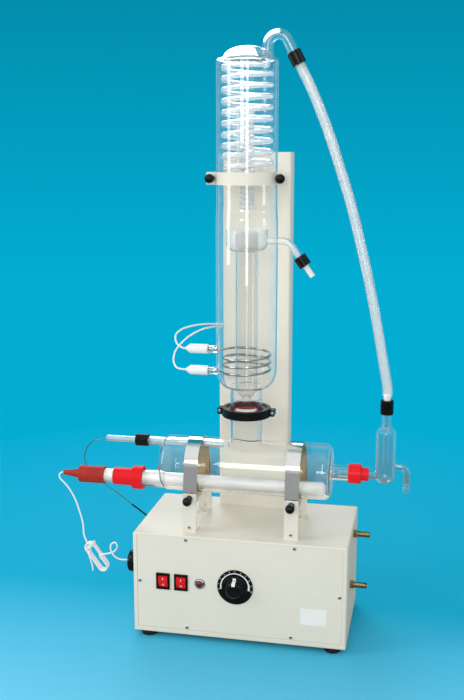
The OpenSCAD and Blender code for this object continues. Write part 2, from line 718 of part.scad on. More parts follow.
// ---------- Fittings of the cabinet ----------
module lead_bushing() color("black") placed() translate([0, bushing_y, foot_h + bushing_z]) difference() {
    union() {
        along_minus_x() rotate_extrude() polygon([[0, 0], [bushing_r, 0], [bushing_r, bushing_out - 6],
            [bushing_r - 1.5, bushing_out - 2.5], [bushing_r - 5, bushing_out - 0.6], [5, bushing_out],
                [0, bushing_out]]);
        translate([-over, 0, 0]) along_x() cylinder(h = sheet + 6 + over, r = bushing_r - 6);
        translate([sheet, 0, 0]) along_x() cylinder(h = 4, r = bushing_r - 3);
    }
    translate([-bushing_out + 4, 0, 0]) along_x() cylinder(h = bushing_out + 20, r = bushing_r - 9);
    for (a = [0:30:330]) rotate([a, 0, 0]) translate([-bushing_out + 5, 0, bushing_r + 0.4])
        along_x() cylinder(h = 5, r = 1, $fn = 6);
}

barb_count = 4;
module hose_tail() difference() {
    union() {
        cylinder(h = 7, r = tail_hex / 2 / cos(30), $fn = 6);
        translate([0, 0, -sheet - 16]) cylinder(h = sheet + 17, r = 5);
        translate([0, 0, -sheet - 5]) cylinder(h = 5, r = 8.5, $fn = 6);
        translate([0, 0, 7 - over]) cylinder(h = tail_len + over, r = tail_r - 1.2);
        for (k = [0:barb_count - 1]) translate([0, 0, 7 + tail_len * (k + 0.25) / barb_count])
            cylinder(h = tail_len * 0.75 / barb_count, r1 = tail_r, r2 = tail_r - 1.2);
    }
    translate([0, 0, -sheet - 17]) cylinder(h = tail_len + 40, r = 3);
}
module water_tails() color("goldenrod") placed() for (i = [0, 1])
    translate([cabinet_w, tail_y[i], foot_h + tail_z[i]]) along_x() hose_tail();

switch_block = 22;
module flow_switch() color("slategray") placed() difference() {
    union() {
        translate([cabinet_w - sheet - 16 - switch_block + 3, tail_y[0] - 12, foot_h + tail_z[0] - 12])
            cube([switch_block, tail_y[1] - tail_y[0] + 24, tail_z[1] - tail_z[0] + 24]);
        translate([cabinet_w - sheet - 16 - switch_block - 18, (tail_y[0] + tail_y[1]) / 2 - 15,
            foot_h + (tail_z[0] + tail_z[1]) / 2 - 20]) cube([22, 30, 40]);
    }
    for (i = [0, 1]) translate([cabinet_w - sheet - 16, tail_y[i], foot_h + tail_z[i]])
        along_x() cylinder(h = 10, r = 5 + run);
}

stat_x = 40;
stat_y = 140;
module thermostat() color("darkslategray") placed() translate([stat_x, stat_y, foot_h + sheet]) {
    cube([46, 40, 3]);
    translate([4, 2, 3 - over]) cube([38, 36, 34 + over]);
    translate([23, 20, 37 - over]) cylinder(h = 7 + over, r = 9);
    translate([23, 20, 44 - over]) cylinder(h = 8 + over, r = 2);
}

module mains_gland() color("black") placed() translate([cabinet_w - gland_x, cabinet_d, foot_h + gland_z])
    along_y() difference() {
        union() {
            translate([0, 0, -0.5]) cylinder(h = 5.5, r = gland_bore + 6, $fn = 6);
            rotate_extrude() polygon([[0, 4], [gland_bore + 4.6, 4], [gland_bore + 4.6, 11],
                [gland_bore + 2.4, gland_out],
                [0, gland_out]]);
            translate([0, 0, -panel_t - 7]) cylinder(h = 9, r = gland_bore + 3.5);
            translate([0, 0, -panel_t - 5.5]) cylinder(h = 5, r = gland_bore + 6, $fn = 6);
        }
        translate([0, 0, -panel_t - 8]) cylinder(h = gland_out + 12, r = gland_bore);
    }

// ---------- Back plate and column clamp ----------
plate_y = still_y + plate_back;
plate_mid = plate_x + plate_w / 2;
foot_tab = 16;
plate_hole = 14;
plate_screw_x = plate_w / 2 - sheet - foot_tab / 2;
foot_hole = 14;
foot_screw = 9;
deck_holes = concat(
    [for (s = [-1, 1], e = [-1, 1]) [still_x + s * saddle_span / 2, still_y + e * (leg_out - foot_hole)]],
    [for (s = [-1, 1]) [plate_mid + s * plate_screw_x, plate_y + plate_hole]]
);
clamp_screw_x = 53;

module back_plate() color("ivory") placed() difference() {
    translate([plate_x, plate_y, deck]) difference() {
        linear_extrude(plate_h) rounded_rect(plate_w, plate_side + edge_r, edge_r);
        translate([-over, plate_side, -over]) cube([plate_w + 2 * over, edge_r + over, plate_h + 2 * over]);
        translate([sheet, sheet, sheet]) cube([plate_w - 2 * sheet, plate_side, plate_h - 2 * sheet]);
        translate([foot_tab + sheet, sheet + 2, -over])
            cube([plate_w - 2 * foot_tab - 2 * sheet, plate_side, sheet + 2 * over]);
    }
    for (s = [-1, 1]) {
        translate([plate_mid + s * plate_screw_x, plate_y + plate_hole, deck - over])
            cylinder(h = sheet + 2 * over, r = screw_r + 0.2);
        translate([still_x + s * clamp_screw_x, plate_y - over, deck + strap_z])
            along_y() cylinder(h = sheet + 2 * over, r = screw_r + 0.2);
    }
    translate([plate_x - over, grommet_y, grommet_z]) along_x() cylinder(h = sheet + 2 * over, r = 7 + run);
}

module grommet(r, lip) {
    translate([0, 0, -1.2]) cylinder(h = 1.2, r = r + lip);
    translate([0, 0, -over]) cylinder(h = sheet + 2 * over, r = r);
    translate([0, 0, sheet]) cylinder(h = 1.2, r = r + lip);
}
module grommets() color("black") placed() {
    translate([plate_x, grommet_y, grommet_z]) along_x() grommet(7, 1.8);
    translate([0, sleeve_y, sleeve_z]) along_x() grommet(3, 1.5);
}

hold_r = condenser_r + ease;
strap_t = 2;
ear_end = ear_x + 9;

module strap_ring() translate([still_x, still_y, deck + strap_z - strap_w / 2])
    ring(hold_r + strap_t, hold_r, strap_w);
module ear_holes() for (s = [-1, 1]) translate([still_x + s * ear_x, ear_y - 20, deck + strap_z])
    along_y() cylinder(h = 40, r = stud_r + ease);

module column_strap() color("ivory") placed() difference() {
    union() {
        intersection() {
            strap_ring();
            translate([0, ear_y - 200, 0]) cube([2 * still_x, 200, 2 * top_z]);
        }
        for (s = [-1, 1]) translate([still_x + (s > 0 ? hold_r - over : -ear_end), ear_y - strap_t,
            deck + strap_z - strap_w / 2])
            cube([ear_end - hold_r + over, strap_t, strap_w]);
    }
    ear_holes();
    translate([still_x, still_y, deck + strap_z - strap_w]) cylinder(h = 2 * strap_w, r = hold_r);
}

ear_gap = 3;
module column_bracket() color("ivory") placed() difference() {
    union() {
        intersection() {
            strap_ring();
            translate([0, ear_y + ear_gap, 0]) cube([2 * still_x, 200, 2 * top_z]);
        }
        for (s = [-1, 1]) translate([still_x + (s > 0 ? hold_r - over : -ear_end), ear_y + ear_gap,
            deck + strap_z - strap_w / 2])
            cube([ear_end - hold_r + over, strap_t, strap_w]);
        for (s = [-1, 1]) translate([still_x + s * 30 - strip_t / 2, still_y + 40,
            deck + strap_z - strap_w / 2])
            cube([strip_t, plate_back - 40, strap_w]);
        for (s = [-1, 1]) translate([still_x + (s > 0 ? 30 - strip_t / 2 : -60), plate_y - strap_t,
            deck + strap_z - strap_w / 2])
            cube([30 + strip_t / 2, strap_t, strap_w]);
    }
    ear_holes();
    translate([still_x, still_y, deck + strap_z - strap_w]) cylinder(h = 2 * strap_w, r = hold_r);
    for (s = [-1, 1]) translate([still_x + s * clamp_screw_x, plate_y - 2 * strap_t, deck + strap_z])
        along_y() cylinder(h = 3 * strap_t, r = screw_r + 0.2);
}

stud_front = ear_y - strap_t - ball_neck - ball_r;
module strap_studs() color("silver") placed() for (s = [-1, 1])
    translate([still_x + s * ear_x, stud_front, deck + strap_z]) along_y() {
    cylinder(h = ear_y + ear_gap + strap_t + 6 - stud_front, r = stud_r);
    translate([0, 0, ear_y + ear_gap + strap_t - stud_front]) cylinder(h = 4, r = 4.6, $fn = 6);
}

// A ball knob with its collar against z = 0, standing along +Z
module ball_knob() difference() {
    union() {
        rotate_extrude() polygon([[0, 0], [6.2, 0], [6.6, 0.6], [5.6, ball_neck - 2], [5.2, ball_neck + 3],
            [0, ball_neck + 3]]);
        translate([0, 0, ball_neck + ball_r - 1]) sphere(ball_r);
    }
    translate([0, 0, -over]) cylinder(h = ball_neck + ball_r + over + 0.5, r = stud_r + run);
}
module strap_knob(s) placed() translate([still_x + s * ear_x, ear_y - strap_t - run, deck + strap_z])
    along_minus_y() ball_knob();
module strap_knob_left() color("black") strap_knob(-1);
module strap_knob_right() color("black") strap_knob(1);

// ---------- Boiler supports ----------
hold_boiler = boiler_r + liner_t;
leg_top = 40;
seat_r = hold_boiler + 0.1;
angle_t = 2;
angle_h = 30;
module saddle_place() for (s = [-1, 1]) translate([still_x + s * saddle_span / 2, still_y, axis_z])
    children();
module upright(len) translate([-len / 2, 0, 0]) rotate([90, 0, 90]) linear_extrude(len) children();

module saddle_profile() {
    for (s = [0, 1]) mirror([s, 0]) translate([leg_out, angle_t - boiler_rise])
        square([strip_t, boiler_rise - angle_t - leg_top]);
    translate([-leg_out - over, -seat_r - strip_t]) square([2 * (leg_out + over), strip_t]);
    difference() {
        translate([-18, -seat_r - over]) square([36, 4]);
        circle(seat_r);
    }
}
module foot_angle(e) mirror([0, e > 0 ? 0 : 1, 0]) difference() {
    union() {
        translate([-strip_w / 2, leg_out + strip_t, -boiler_rise]) cube([strip_w, angle_t, angle_h]);
        translate([-strip_w / 2, leg_out - 24, -boiler_rise])
            cube([strip_w, 24 + strip_t + angle_t, angle_t]);
    }
    translate([0, leg_out, foot_screw - boiler_rise]) along_y() cylinder(h = 10, r = screw_r + 0.2);
    translate([0, leg_out - foot_hole, -boiler_rise - over])
        cylinder(h = angle_t + 2 * over, r = screw_r + 0.2);
}
module saddles() color("ivory") placed() saddle_place() {
    difference() {
        upright(strip_w) saddle_profile();
        for (e = [0, 1]) mirror([0, 1 - e, 0]) {
            translate([0, leg_out - over, band_knob_z - axis_z]) along_y()
                cylinder(h = strip_t + 2 * over, r = stud_r + ease);
            translate([0, leg_out - over, foot_screw - boiler_rise]) along_y()
                cylinder(h = strip_t + 2 * over, r = screw_r + 0.2);
        }
    }
    for (e = [-1, 1]) foot_angle(e);
}

// The band goes over the boiler, leaves it along a tangent and ends inside the legs
tab_x = leg_out - ease - band_t;
tab_z = leg_top - 2;
lean = acos(hold_boiler / norm([tab_x, tab_z])) - atan2(tab_z, tab_x);
band_run = sqrt(tab_x * tab_x + tab_z * tab_z - hold_boiler * hold_boiler);
module bands() color("silver") placed() saddle_place() difference() {
    translate([-strip_w / 2, 0, 0]) union() {
        rotate([90, 0, 90]) rotate(lean) rotate_extrude(angle = 180 - 2 * lean)
            translate([hold_boiler, 0]) square([band_t, strip_w]);
        for (s = [0, 1]) mirror([0, s, 0]) {
            rotate([lean, 0, 0]) translate([0, hold_boiler + 0.02, -band_run])
                cube([strip_w, band_t, band_run + 2]);
            translate([0, tab_x, 0.5 - seat_r]) cube([strip_w, band_t, seat_r - tab_z + 0.1]);
        }
    }
    for (s = [-1, 1]) translate([0, s * leg_out - 5, band_knob_z - axis_z]) along_y()
        cylinder(h = 10, r = stud_r + ease);
}
module band_liners() color("khaki") placed() saddle_place()
    translate([-strip_w / 2 + 1, 0, 0]) along_x() ring(hold_boiler - 0.05, boiler_r + 0.05, strip_w - 2);

module bracket_screws() color("silver") placed() {
    saddle_place() for (e = [-1, 1]) mirror([0, e > 0 ? 0 : 1, 0]) {
        translate([0, leg_out + strip_t + angle_t, foot_screw - boiler_rise]) rotate(180)
            pan_screw(screw_r, strip_t + angle_t + 1);
        translate([0, leg_out - foot_hole, -boiler_rise + angle_t]) rotate([-90, 0, 0])
            pan_screw(screw_r, angle_t + sheet + 3);
    }
    for (s = [-1, 1]) {
        translate([plate_mid + s * plate_screw_x, plate_y + plate_hole, deck + sheet]) rotate([-90, 0, 0])
            pan_screw(screw_r, 2 * sheet + 3);
        translate([still_x + s * clamp_screw_x, plate_y - strap_t, deck + strap_z])
            pan_screw(screw_r, strap_t + sheet + 3);
    }
    saddle_place() {
        translate([0, -leg_out - strip_t - ball_neck - ball_r, band_knob_z - axis_z]) along_y()
            cylinder(h = strip_t + ball_neck + ball_r + 8, r = stud_r);
        translate([0, 0.1 - tab_x, band_knob_z - axis_z]) along_y() cylinder(h = 4, r = 4.6, $fn = 6);
        translate([0, leg_out - 6, band_knob_z - axis_z]) along_y() cylinder(h = strip_t + 9, r = stud_r);
        translate([0, tab_x - 4.1, band_knob_z - axis_z]) along_y() cylinder(h = 4, r = 4.6, $fn = 6);
        translate([0, leg_out + strip_t, band_knob_z - axis_z]) along_y() cylinder(h = 3, r = 4.6, $fn = 6);
    }
}

module band_knob(s) placed() translate([still_x + s * saddle_span / 2, still_y - leg_out - strip_t - run,
    band_knob_z])
    along_minus_y() ball_knob();
module band_knob_left() color("black") band_knob(-1);
module band_knob_right() color("black") band_knob(1);

// ---------- Boiler and what screws into it ----------
end_round = 14;
sensor_neck_len = 48.5;
function barrel(len, r, e) = concat([[0, 0]], arc(r - e, e, e, -90, 0), arc(r - e, len - e, e, 0, 90),
    [[0, len]]);

module boiler_form(inset) {
    translate([boiler_x0 + inset, still_y, axis_z]) along_x() rotate_extrude()
        polygon(barrel(boiler_left + boiler_right - 2 * inset, boiler_r - inset, end_round - inset));
    translate([still_x, still_y, axis_z]) cylinder(h = boiler_neck - gasket_t / 2 + (inset > 0 ? over : 0),
        r = neck_r - inset);
    translate([boiler_x0 + 2 * end_round, still_y, heater_z]) along_minus_x()
        cylinder(h = heater_neck_len + 2 * end_round + (inset > 0 ? over : 0),
            r = heater_neck_r - inset * 0.8);
    translate([boiler_x0 + 2 * end_round, still_y, axis_z + sensor_rise]) along_minus_x()
        cylinder(h = sensor_neck_len + 2 * end_round + (inset > 0 ? over : 0),
            r = sensor_neck_r - inset * 0.6);
    translate([boiler_x1 - 2 * end_round, still_y, axis_z]) along_x()
        cylinder(h = inlet_neck_len + 2 * end_round + (inset > 0 ? over : 0), r = inlet_neck_r - inset * 0.8);
}
module flange(z, up) translate([still_x, still_y, z]) mirror([0, 0, up ? 0 : 1])
    rotate_extrude() polygon([[0, 0], [flange_r, 0], [flange_r, flange_t - 2], [neck_r + 3, flange_t],
        [neck_r, flange_t + 5],
        [0, flange_t + 5]]);

module boiler() color("lightblue", 0.5) placed() difference() {
    union() {
        boiler_form(0);
        flange(joint_z - gasket_t / 2, false);
    }
    boiler_form(glass);
}

sheath_end = boiler_x1 - 8;
sheath_start = boot_x - 27;
module sheath_form(inset, extra) translate([sheath_start - extra, still_y, heater_z]) along_x()
    rotate_extrude() polygon(
    let (len = sheath_end - sheath_start + extra, e = 10)
    concat([[0, 0], [sheath_r - inset, 0]], arc(sheath_r - e, len - e, e - inset, 0, 90),
        [[0, len - inset]]));
module heater_sheath() color("white", 0.6) placed() difference() {
    sheath_form(0, 0);
    sheath_form(tube_wall, over);
}

rib_pitch = 8;
core_x0 = boiler_x0 + 20;
core_x1 = sheath_end - 14;
rib_count = floor((core_x1 - core_x0) / rib_pitch);
module heater_element() color("whitesmoke") placed() translate([0, still_y, heater_z]) {
    translate([sheath_start, 0, 0]) along_x() cylinder(h = cap_face_x - sheath_start, r = 11);
    translate([sheath_start, 0, 0]) along_x() cylinder(h = core_x0 - sheath_start + over, r = 7);
    translate([core_x0, 0, 0]) along_x() rotate_extrude() polygon(concat([[0, 0]],
        [for (k = [0:rib_count - 1], q = [0:3]) [q == 0 || q == 3 ? 8.5 : 11,
            rib_pitch * (k + [0.1, 0.25, 0.65, 0.8][q])]],
        [[0, rib_pitch * rib_count]]));
    translate([sheath_start - 8, 0, 0]) along_x() cylinder(h = 9, r = 4);
}

module heater_cap() color("red") placed() translate([cap_face_x, still_y, heater_z]) along_minus_x()
    screw_cap(heater_cap_r, heater_cap_len, heater_neck_r + ease, sheath_r + ease, heater_hub_r,
        heater_hub_len, 30);

module heater_boot() color("brown") placed() translate([boot_x, still_y, heater_z]) along_minus_x()
    difference() {
    rotate_extrude() polygon([[0, 0], [boot_r - 0.8, 0], [boot_r, 0.8], [boot_r, boot_len - 1.5],
        [boot_r - 1.5, boot_len],
        [9.5, boot_len + 1], [8.8, boot_len + 3], [4.2, boot_len + boot_nose], [0, boot_len + boot_nose]]);
    translate([0, 0, -over]) cylinder(h = 27 + over + 0.2, r = sheath_r + run);
    translate([0, 0, 20]) cylinder(h = 20, r = 4 + run);
    translate([0, 0, 39]) cylinder(h = boot_len + boot_nose, r = 2.2);
}

module sensor_tube() color("lightblue", 0.5) placed() difference() {
    translate([sensor_start, still_y, sensor_z]) along_x() rotate_extrude()
        polygon(concat([[0, 0], [sensor_r, 0]],
        arc(0, sensor_end - sensor_start - sensor_r, sensor_r, 0, 90)));
    translate([sensor_start - over, still_y, sensor_z]) along_x()
        cylinder(h = sensor_end - sensor_start - sensor_r + over, r = sensor_r - 1.2);
}
module sensor_bulb() color("silver") placed() translate([bulb_end, still_y, bulb_z]) along_x()
    rotate_extrude()
    polygon(concat([[0, 0], [bulb_r - 0.8, 0], [bulb_r, 0.8]], arc(0, 88 - bulb_r, bulb_r, 0, 90)));
module sensor_cap() color("black") placed() translate([sensor_face, still_y, sensor_z]) along_minus_x()
    screw_cap(sensor_cap_r, sensor_cap_len, sensor_neck_r + ease, sensor_r + ease, ribs = 24);

module inlet_cap() color("red") placed() translate([inlet_face_x, still_y, axis_z]) along_x()
    screw_cap(inlet_cap_r, inlet_cap_len, inlet_neck_r + ease, inlet_r + ease, inlet_hub_r, inlet_hub_len,
        18);

// ---------- Level vessel ----------
overflow_bend = 13;
level_z0 = axis_z - level_low;
level_h = level_low + level_high;
module level_form(inset) {
    translate([level_axis, still_y, level_z0 + inset]) rotate_extrude() polygon(concat(
        [[0, 0]], arc(level_r - 14, 14 - inset, 14 - inset, -90, 0),
        arc(level_r - 10, level_h - 10 - inset, 10 - inset, 0, 50),
        [[level_neck_r - inset, level_h + 3 - inset],
            [level_neck_r - inset, level_h + level_neck_len + (inset > 0 ? over : 0)],
        [0, level_h + level_neck_len + (inset > 0 ? over : 0)]]));
    translate([inlet_tube_x - (inset > 0 ? over : 0), still_y, axis_z]) along_x()
        cylinder(h = level_axis - inlet_tube_x, r = inlet_r - inset);
}
module overflow_place() translate([level_axis, still_y, axis_z + overflow_rise]) along_x() children();
overflow_in = overflow_reach - overflow_bend;
inlet_tube_x = boiler_x1 + 12;
module level_vessel() color("lightblue", 0.5) placed() {
    difference() {
        union() {
            level_form(0);
            overflow_place() bent_outside(overflow_in, overflow_bend, 90, overflow_drop, overflow_r);
            overflow_place() after_bend(overflow_in, overflow_bend, 90) translate([0, 0, overflow_drop - 15])
                rotate_extrude() polygon([[0, 0], [overflow_r, 0], [overflow_r + 1, 3], [overflow_r, 6],
                    [0, 6]]);
        }
        level_form(tube_wall);
        overflow_place() bent_bore(overflow_in, overflow_bend, 90, overflow_drop, overflow_r - tube_wall);
    }
    // The dip tube hangs from a ring in the neck
    translate([level_axis, still_y, axis_z + 22]) ring(4.4, 3.2, level_high + level_neck_len - 22);
    translate([level_axis, still_y, axis_z + level_high + level_neck_len - 4])
        ring(level_neck_r - tube_wall + 0.2, 4, 1.5);
}

level_face = axis_z + level_high + 26;
module level_cap() color("black") placed() translate([level_axis, still_y, level_face])
    screw_cap(small_cap_r, 26, level_neck_r + ease, 5.2, ribs = 24);

// The hose's seat in the level cap stands on the vessel's neck
neck_end = axis_z + level_high + level_neck_len;
module hose_nipple() color("whitesmoke") placed() translate([level_axis, still_y, neck_end + 0.1])
    difference() {
    union() {
        cylinder(h = 3, r = level_neck_r - 0.3);
        cylinder(h = hose_foot - neck_end - 1, r = 5);
        translate([0, 0, level_face + 26 - neck_end + 0.1])
            cylinder(h = hose_foot - level_face - 26.2, r = 6.5);
    }
    translate([0, 0, -over]) cylinder(h = 50, r = 3.6);
}

// ---------- Column ----------
function column_outline(w) = concat(
    [[0, joint_z + gasket_t / 2 - (w > 0 ? over : 0)],
        [neck_r - w, joint_z + gasket_t / 2 - (w > 0 ? over : 0)]],
    arc(neck_r + 3, neck_top, 3 + w, 180, 90, 4),
    [for (i = [0:12]) let (a = 7.5 * i) [neck_r + 3 + (vessel_r - neck_r - 3 - w) * sin(a),
        shoulder_top - (shoulder_h - 3 - w) * cos(a)]],
    arc(vessel_r - w - 30, waist_z, 30, 0, 12, 3),
    arc(condenser_r - w + 30, waist_z + waist_h, 30, 192, 180, 3),
    arc(condenser_r - 6, top_z - 6, 6 - min(w, 5), 0, 90),
    [for (i = [0:8]) let (a = 11.25 * i) [(dome_r - w) * cos(a),
        top_z - w + dome_rise * sin(a) * (i == 0 ? 0 : 1)]]
);
arm_len = 23;
module heater_arms(r, extra, root = 6) for (z = [spiral_z, spiral_top])
    translate([still_x - vessel_r + root, still_y, z])
    along_minus_x() cylinder(h = root + arm_len + extra, r = r);
module coolant_arm(r, extra) translate([still_x, still_y + condenser_r - 6, coolant_z]) along_y()
    cylinder(h = 24 + extra, r = r);
module product_hole(r) translate([still_x + vessel_r - 12, still_y, product_z]) along_x()
    cylinder(h = 20, r = r);

module column_jacket() color("lightblue", 0.5) placed() difference() {
    union() {
        translate([still_x, still_y, 0]) rotate_extrude() polygon(column_outline(0));
        flange(joint_z + gasket_t / 2, true);
        heater_arms(7, 0);
        coolant_arm(5.5, 0);
        difference() {
            arch_place() bent_outside(arch_rise + 2, arch_bend, 180 - arch_tilt, arch_run + 12, arch_r);
            arch_place() bent_bore(arch_rise + 2, arch_bend, 180 - arch_tilt, arch_run + 12, arch_r - 2);
        }
    }
    translate([still_x, still_y, 0]) rotate_extrude() polygon(column_outline(glass));
    heater_arms(spiral_tube + 0.2, over);
    heater_arms(4.6, over, root = -6);
    coolant_arm(core_tube + 0.2, over);
    product_hole(product_r + 0.05);
    translate([still_x + arch_x, still_y, top_z - 20]) cylinder(h = 38, r = coil_tube + ease);
}
module arch_place() translate([still_x + arch_x, still_y, top_z - 2]) children();

riser_low = joint_z + 24;
riser_top = cup_z + 33;
function riser_wall(w) = [
    [8 - w, riser_low], [8 - w, riser_low + 4], [12.5 - w, riser_low + 7], [17 - w, riser_low + 12],
    [riser_r - w, riser_low + 21],
    [riser_r - w, riser_top]
];
// The riser rests in the neck on a web of its own
module riser_tube() color("lightblue", 0.5) placed() translate([still_x, still_y, 0]) {
    rotate_extrude() polygon(concat(riser_wall(0),
        [for (i = [len(riser_wall(0)) - 1:-1:0]) riser_wall(tube_wall)[i]]));
    translate([0, 0, riser_low + 1]) ring(neck_r - glass - 0.1, 8 - tube_wall / 2, tube_wall);
}

product_bend = 25;
product_x = still_x + cup_r - 5;
product_in = 30;
product_out = 32;
module product_place() translate([product_x, still_y, product_z]) along_x() children();
module product_end() product_place() after_bend(product_in, product_bend, product_tilt) children();

module collector_cup() color("lightblue", 0.6) placed() difference() {
    union() {
        translate([still_x, still_y, cup_z]) rotate_extrude() polygon(concat([[riser_r + run, 0]],
            arc(cup_r - cup_round, cup_round, cup_round, -90, 0),
            [[cup_r, cup_h], [cup_r - tube_wall, cup_h]],
            arc(cup_r - cup_round, cup_round, cup_round - tube_wall, 0, -90), [[riser_r + run, tube_wall]]));
        difference() {
            product_place() bent_outside(product_in, product_bend, product_tilt, product_out, product_r);
            translate([still_x, still_y, cup_z - over]) cylinder(h = cup_h, r = cup_r - tube_wall / 2);
        }
    }
    product_place() bent_bore(product_in, product_bend, product_tilt, product_out, product_r - tube_wall);
}

module product_cap() color("black") placed() product_end() translate([0, 0, 20])
    screw_cap(small_cap_r, product_cap_len, product_r + ease, nozzle_r + ease, ribs = 24);
module product_nozzle() color("whitesmoke") placed() product_end() translate([0, 0, product_out + 0.1]) {
    ring(nozzle_r, nozzle_r - 1.6, product_cap_len + 20 - product_out + nozzle_len);
    ring(product_r, nozzle_r - 1, 2);
    translate([0, 0, product_cap_len + 20 - product_out]) ring(nozzle_r + 1.5, nozzle_r - 1, 1);
}

// ---------- Arch cap ----------
module arch_end() arch_place() after_bend(arch_rise + 2, arch_bend, 180 - arch_tilt) children();
module arch_cap() color("black") placed() arch_end() translate([0, 0, arch_run])
    screw_cap(arch_cap_r, arch_cap_len, arch_r + ease, arch_r - 2.8, ribs = 24);

// ---------- Flange clamp ----------
gasket_low = joint_z - gasket_t / 2;
clamp_r = 45.5;
clamp_half = flange_t + gasket_t / 2 + 2;
clamp_ear = 49.3;
lug_w = 11.5;
lug_h = 12;
// Height of the lips' inner face above the joint, which follows the back of the glass flange
function lip(r) = flange_t - 2 + gasket_t / 2 + 2 * (flange_r - r) / (flange_r - neck_r - 3) + 0.15;
module flange_gasket() color("firebrick") placed() translate([still_x, still_y, gasket_low])
    ring(flange_r - 0.5, neck_r - 7, gasket_t);
module clamp_body() difference() {
    union() {
        translate([still_x, still_y, joint_z]) rotate_extrude() polygon([
            [neck_r + 8, -clamp_half], [clamp_r - 1, -clamp_half], [clamp_r, -clamp_half + 1],
                [clamp_r, clamp_half - 1],
            [clamp_r - 1, clamp_half], [neck_r + 8, clamp_half], [neck_r + 8, lip(neck_r + 8)],
            [flange_r + ease, lip(flange_r + ease)], [flange_r + ease, -lip(flange_r + ease)],
            [neck_r + 8, -lip(neck_r + 8)]]);
        for (s = [-1, 1])
            translate([still_x + s * (clamp_ear - 1.2) - lug_w / 2, still_y, joint_z]) along_y()
            translate([0, -lug_h / 2, -9]) linear_extrude(18) rounded_rect(lug_w, lug_h, 2);
    }
    for (s = [-1, 1]) translate([still_x + s * clamp_ear, still_y - 20, joint_z]) along_y()
        cylinder(h = 40, r = 2.2);
    translate([still_x, still_y, joint_z]) cylinder(h = 2 * lip(flange_r + ease), r = flange_r + ease,
        center = true);
}
module flange_clamp() color("black") placed() for (e = [-1, 1]) intersection() {
    clamp_body();
    translate([still_x - 100, e > 0 ? still_y + 0.5 : still_y - 100.5, joint_z - 50]) cube([200, 100, 100]);
}
module clamp_screws() color("silver") placed() for (s = [-1, 1])
    translate([still_x + s * clamp_ear, still_y - 9, joint_z]) {
    pan_screw(2, 24);
    translate([0, 18, 0]) along_y() cylinder(h = 3.5, r = 4, $fn = 6);
}

// ---------- Coils: each is one unbroken tube ----------
coolant_z = top_z - 89 - core_turns * core_pitch;
coil_top = top_z - 14;
coil_low = coil_top - coil_turns * coil_pitch;
link_r = 26;
link_a = 140;
link_z = coil_low - 6;
// Radius of the outer coil's bend up into the arch
rise_r = 8;
function polar(r, a, z) = [still_x + r * cos(a), still_y + r * sin(a), z];
function smooth(q) = q * q * (3 - 2 * q);
// The outer coil starts below the link, climbs round the wall and ends in the foot of the arch
outer_points = concat(
    [polar(link_r, link_a, link_z), polar(link_r, link_a, link_z - 5)],
    [for (i = [1:8]) let (q = i / 9) polar(link_r + (coil_r - link_r) * smooth(q),
        link_a + 80 * q * q + 20 * q,
        link_z - 5 - 8 * sin(180 * q) * (1 - q) + q * (coil_low - link_z + 5))],
    [for (i = [0:24 * coil_turns]) polar(coil_r, link_a + 100 + 15 * i, coil_low + coil_pitch * i / 24)],
    [for (i = [1:7]) let (q = i / 7) polar(coil_r - (coil_r - arch_x) * smooth(q),
        link_a + 100 + 107 * (2 * q - q * q),
        coil_top + q)],
    [for (i = [1:4]) [still_x + arch_x, still_y - rise_r * (1 - sin(22.5 * i)),
        coil_top + 1 + rise_r * (1 - cos(22.5 * i))]],
    [[still_x + arch_x, still_y, coil_top + 16]]
);
core_top = top_z - 89;
core_low = core_top - core_turns * core_pitch;
inner_points = concat(
    [for (i = [0:5]) [still_x, still_y + condenser_r + 16 - i * (condenser_r + 16 - core_r - 6) / 5,
        coolant_z]],
    [polar(core_r + 2, 90 + 10, coolant_z + 0.5)],
    [for (i = [2:15 * core_turns]) polar(core_r, 90 + 24 * i, core_low + core_pitch * i / 15)],
    [for (i = [1:5]) let (q = i / 5) polar(core_r + (link_r - core_r) * q, 90 + 50 * q,
        core_top + 6 * sin(90 * q))],
    [polar(link_r, link_a, core_top - 4), polar(link_r, link_a, (core_top + link_z) / 2),
        polar(link_r, link_a, link_z)]
);
spiral_points = concat(
    [for (x = [vessel_r + 20, vessel_r + 8, spiral_r + 8]) [still_x - x, still_y, spiral_z]],
    [polar(spiral_r + 2.5, 183, spiral_z + 0.1)],
    [for (i = [0.5:1:24 * spiral_turns - 0.5]) polar(spiral_r, 180 + 15 * i,
        spiral_z + spiral_pitch * i / 24)],
    [polar(spiral_r + 2.5, 177, spiral_top - 0.1)],
    [for (x = [spiral_r + 8, vessel_r + 8, vessel_r + 20]) [still_x - x, still_y, spiral_top]]
);
// The hank is wound round a long loop, its turns side by side
function race(k) = let (f = k - 24 * floor(k / 24))
    f < 4 ? [hank_side * (f - 2) / 2, -hank_r]
    : f < 12 ? [hank_side + hank_r * sin(22.5 * (f - 4)), -hank_r * cos(22.5 * (f - 4))]
    : f < 16 ? [hank_side * (14 - f) / 2, hank_r]
    : [-hank_side - hank_r * sin(22.5 * (f - 16)), hank_r * cos(22.5 * (f - 16))];
function hank_point(k) = let (p = race(k)) [
    hank_mid[0] + p[0] * cos(hank_tilt) + p[1] * sin(hank_tilt), hank_back - hank_pitch * k / 24,
    hank_mid[2] - p[0] * sin(hank_tilt) + p[1] * cos(hank_tilt)
];
lead_points = concat(drop_route, [for (k = [1:24 * hank_turns + 14]) hank_point(k)], tail_route);
echo(outer_coil_gap = low_gap(outer_points, 30, 12) - 2 * coil_tube);
echo(inner_coil_gap = low_gap(inner_points, 20, 8) - 2 * core_tube);
echo(spiral_gap = low_gap(spiral_points, 30, 12) - 2 * spiral_tube);
echo(heater_lead_gap = low_gap(lead_points, 60, 4) - 2 * cable_r);

module outer_coil() color("lightcyan") placed() swept(outer_points, coil_tube, 6, start = [1, 0, 0]);
module inner_coil() color("lightcyan") placed() swept(inner_points, core_tube, 6);
module spiral_heater() color("dimgray") placed() swept(spiral_points, spiral_tube, 6);

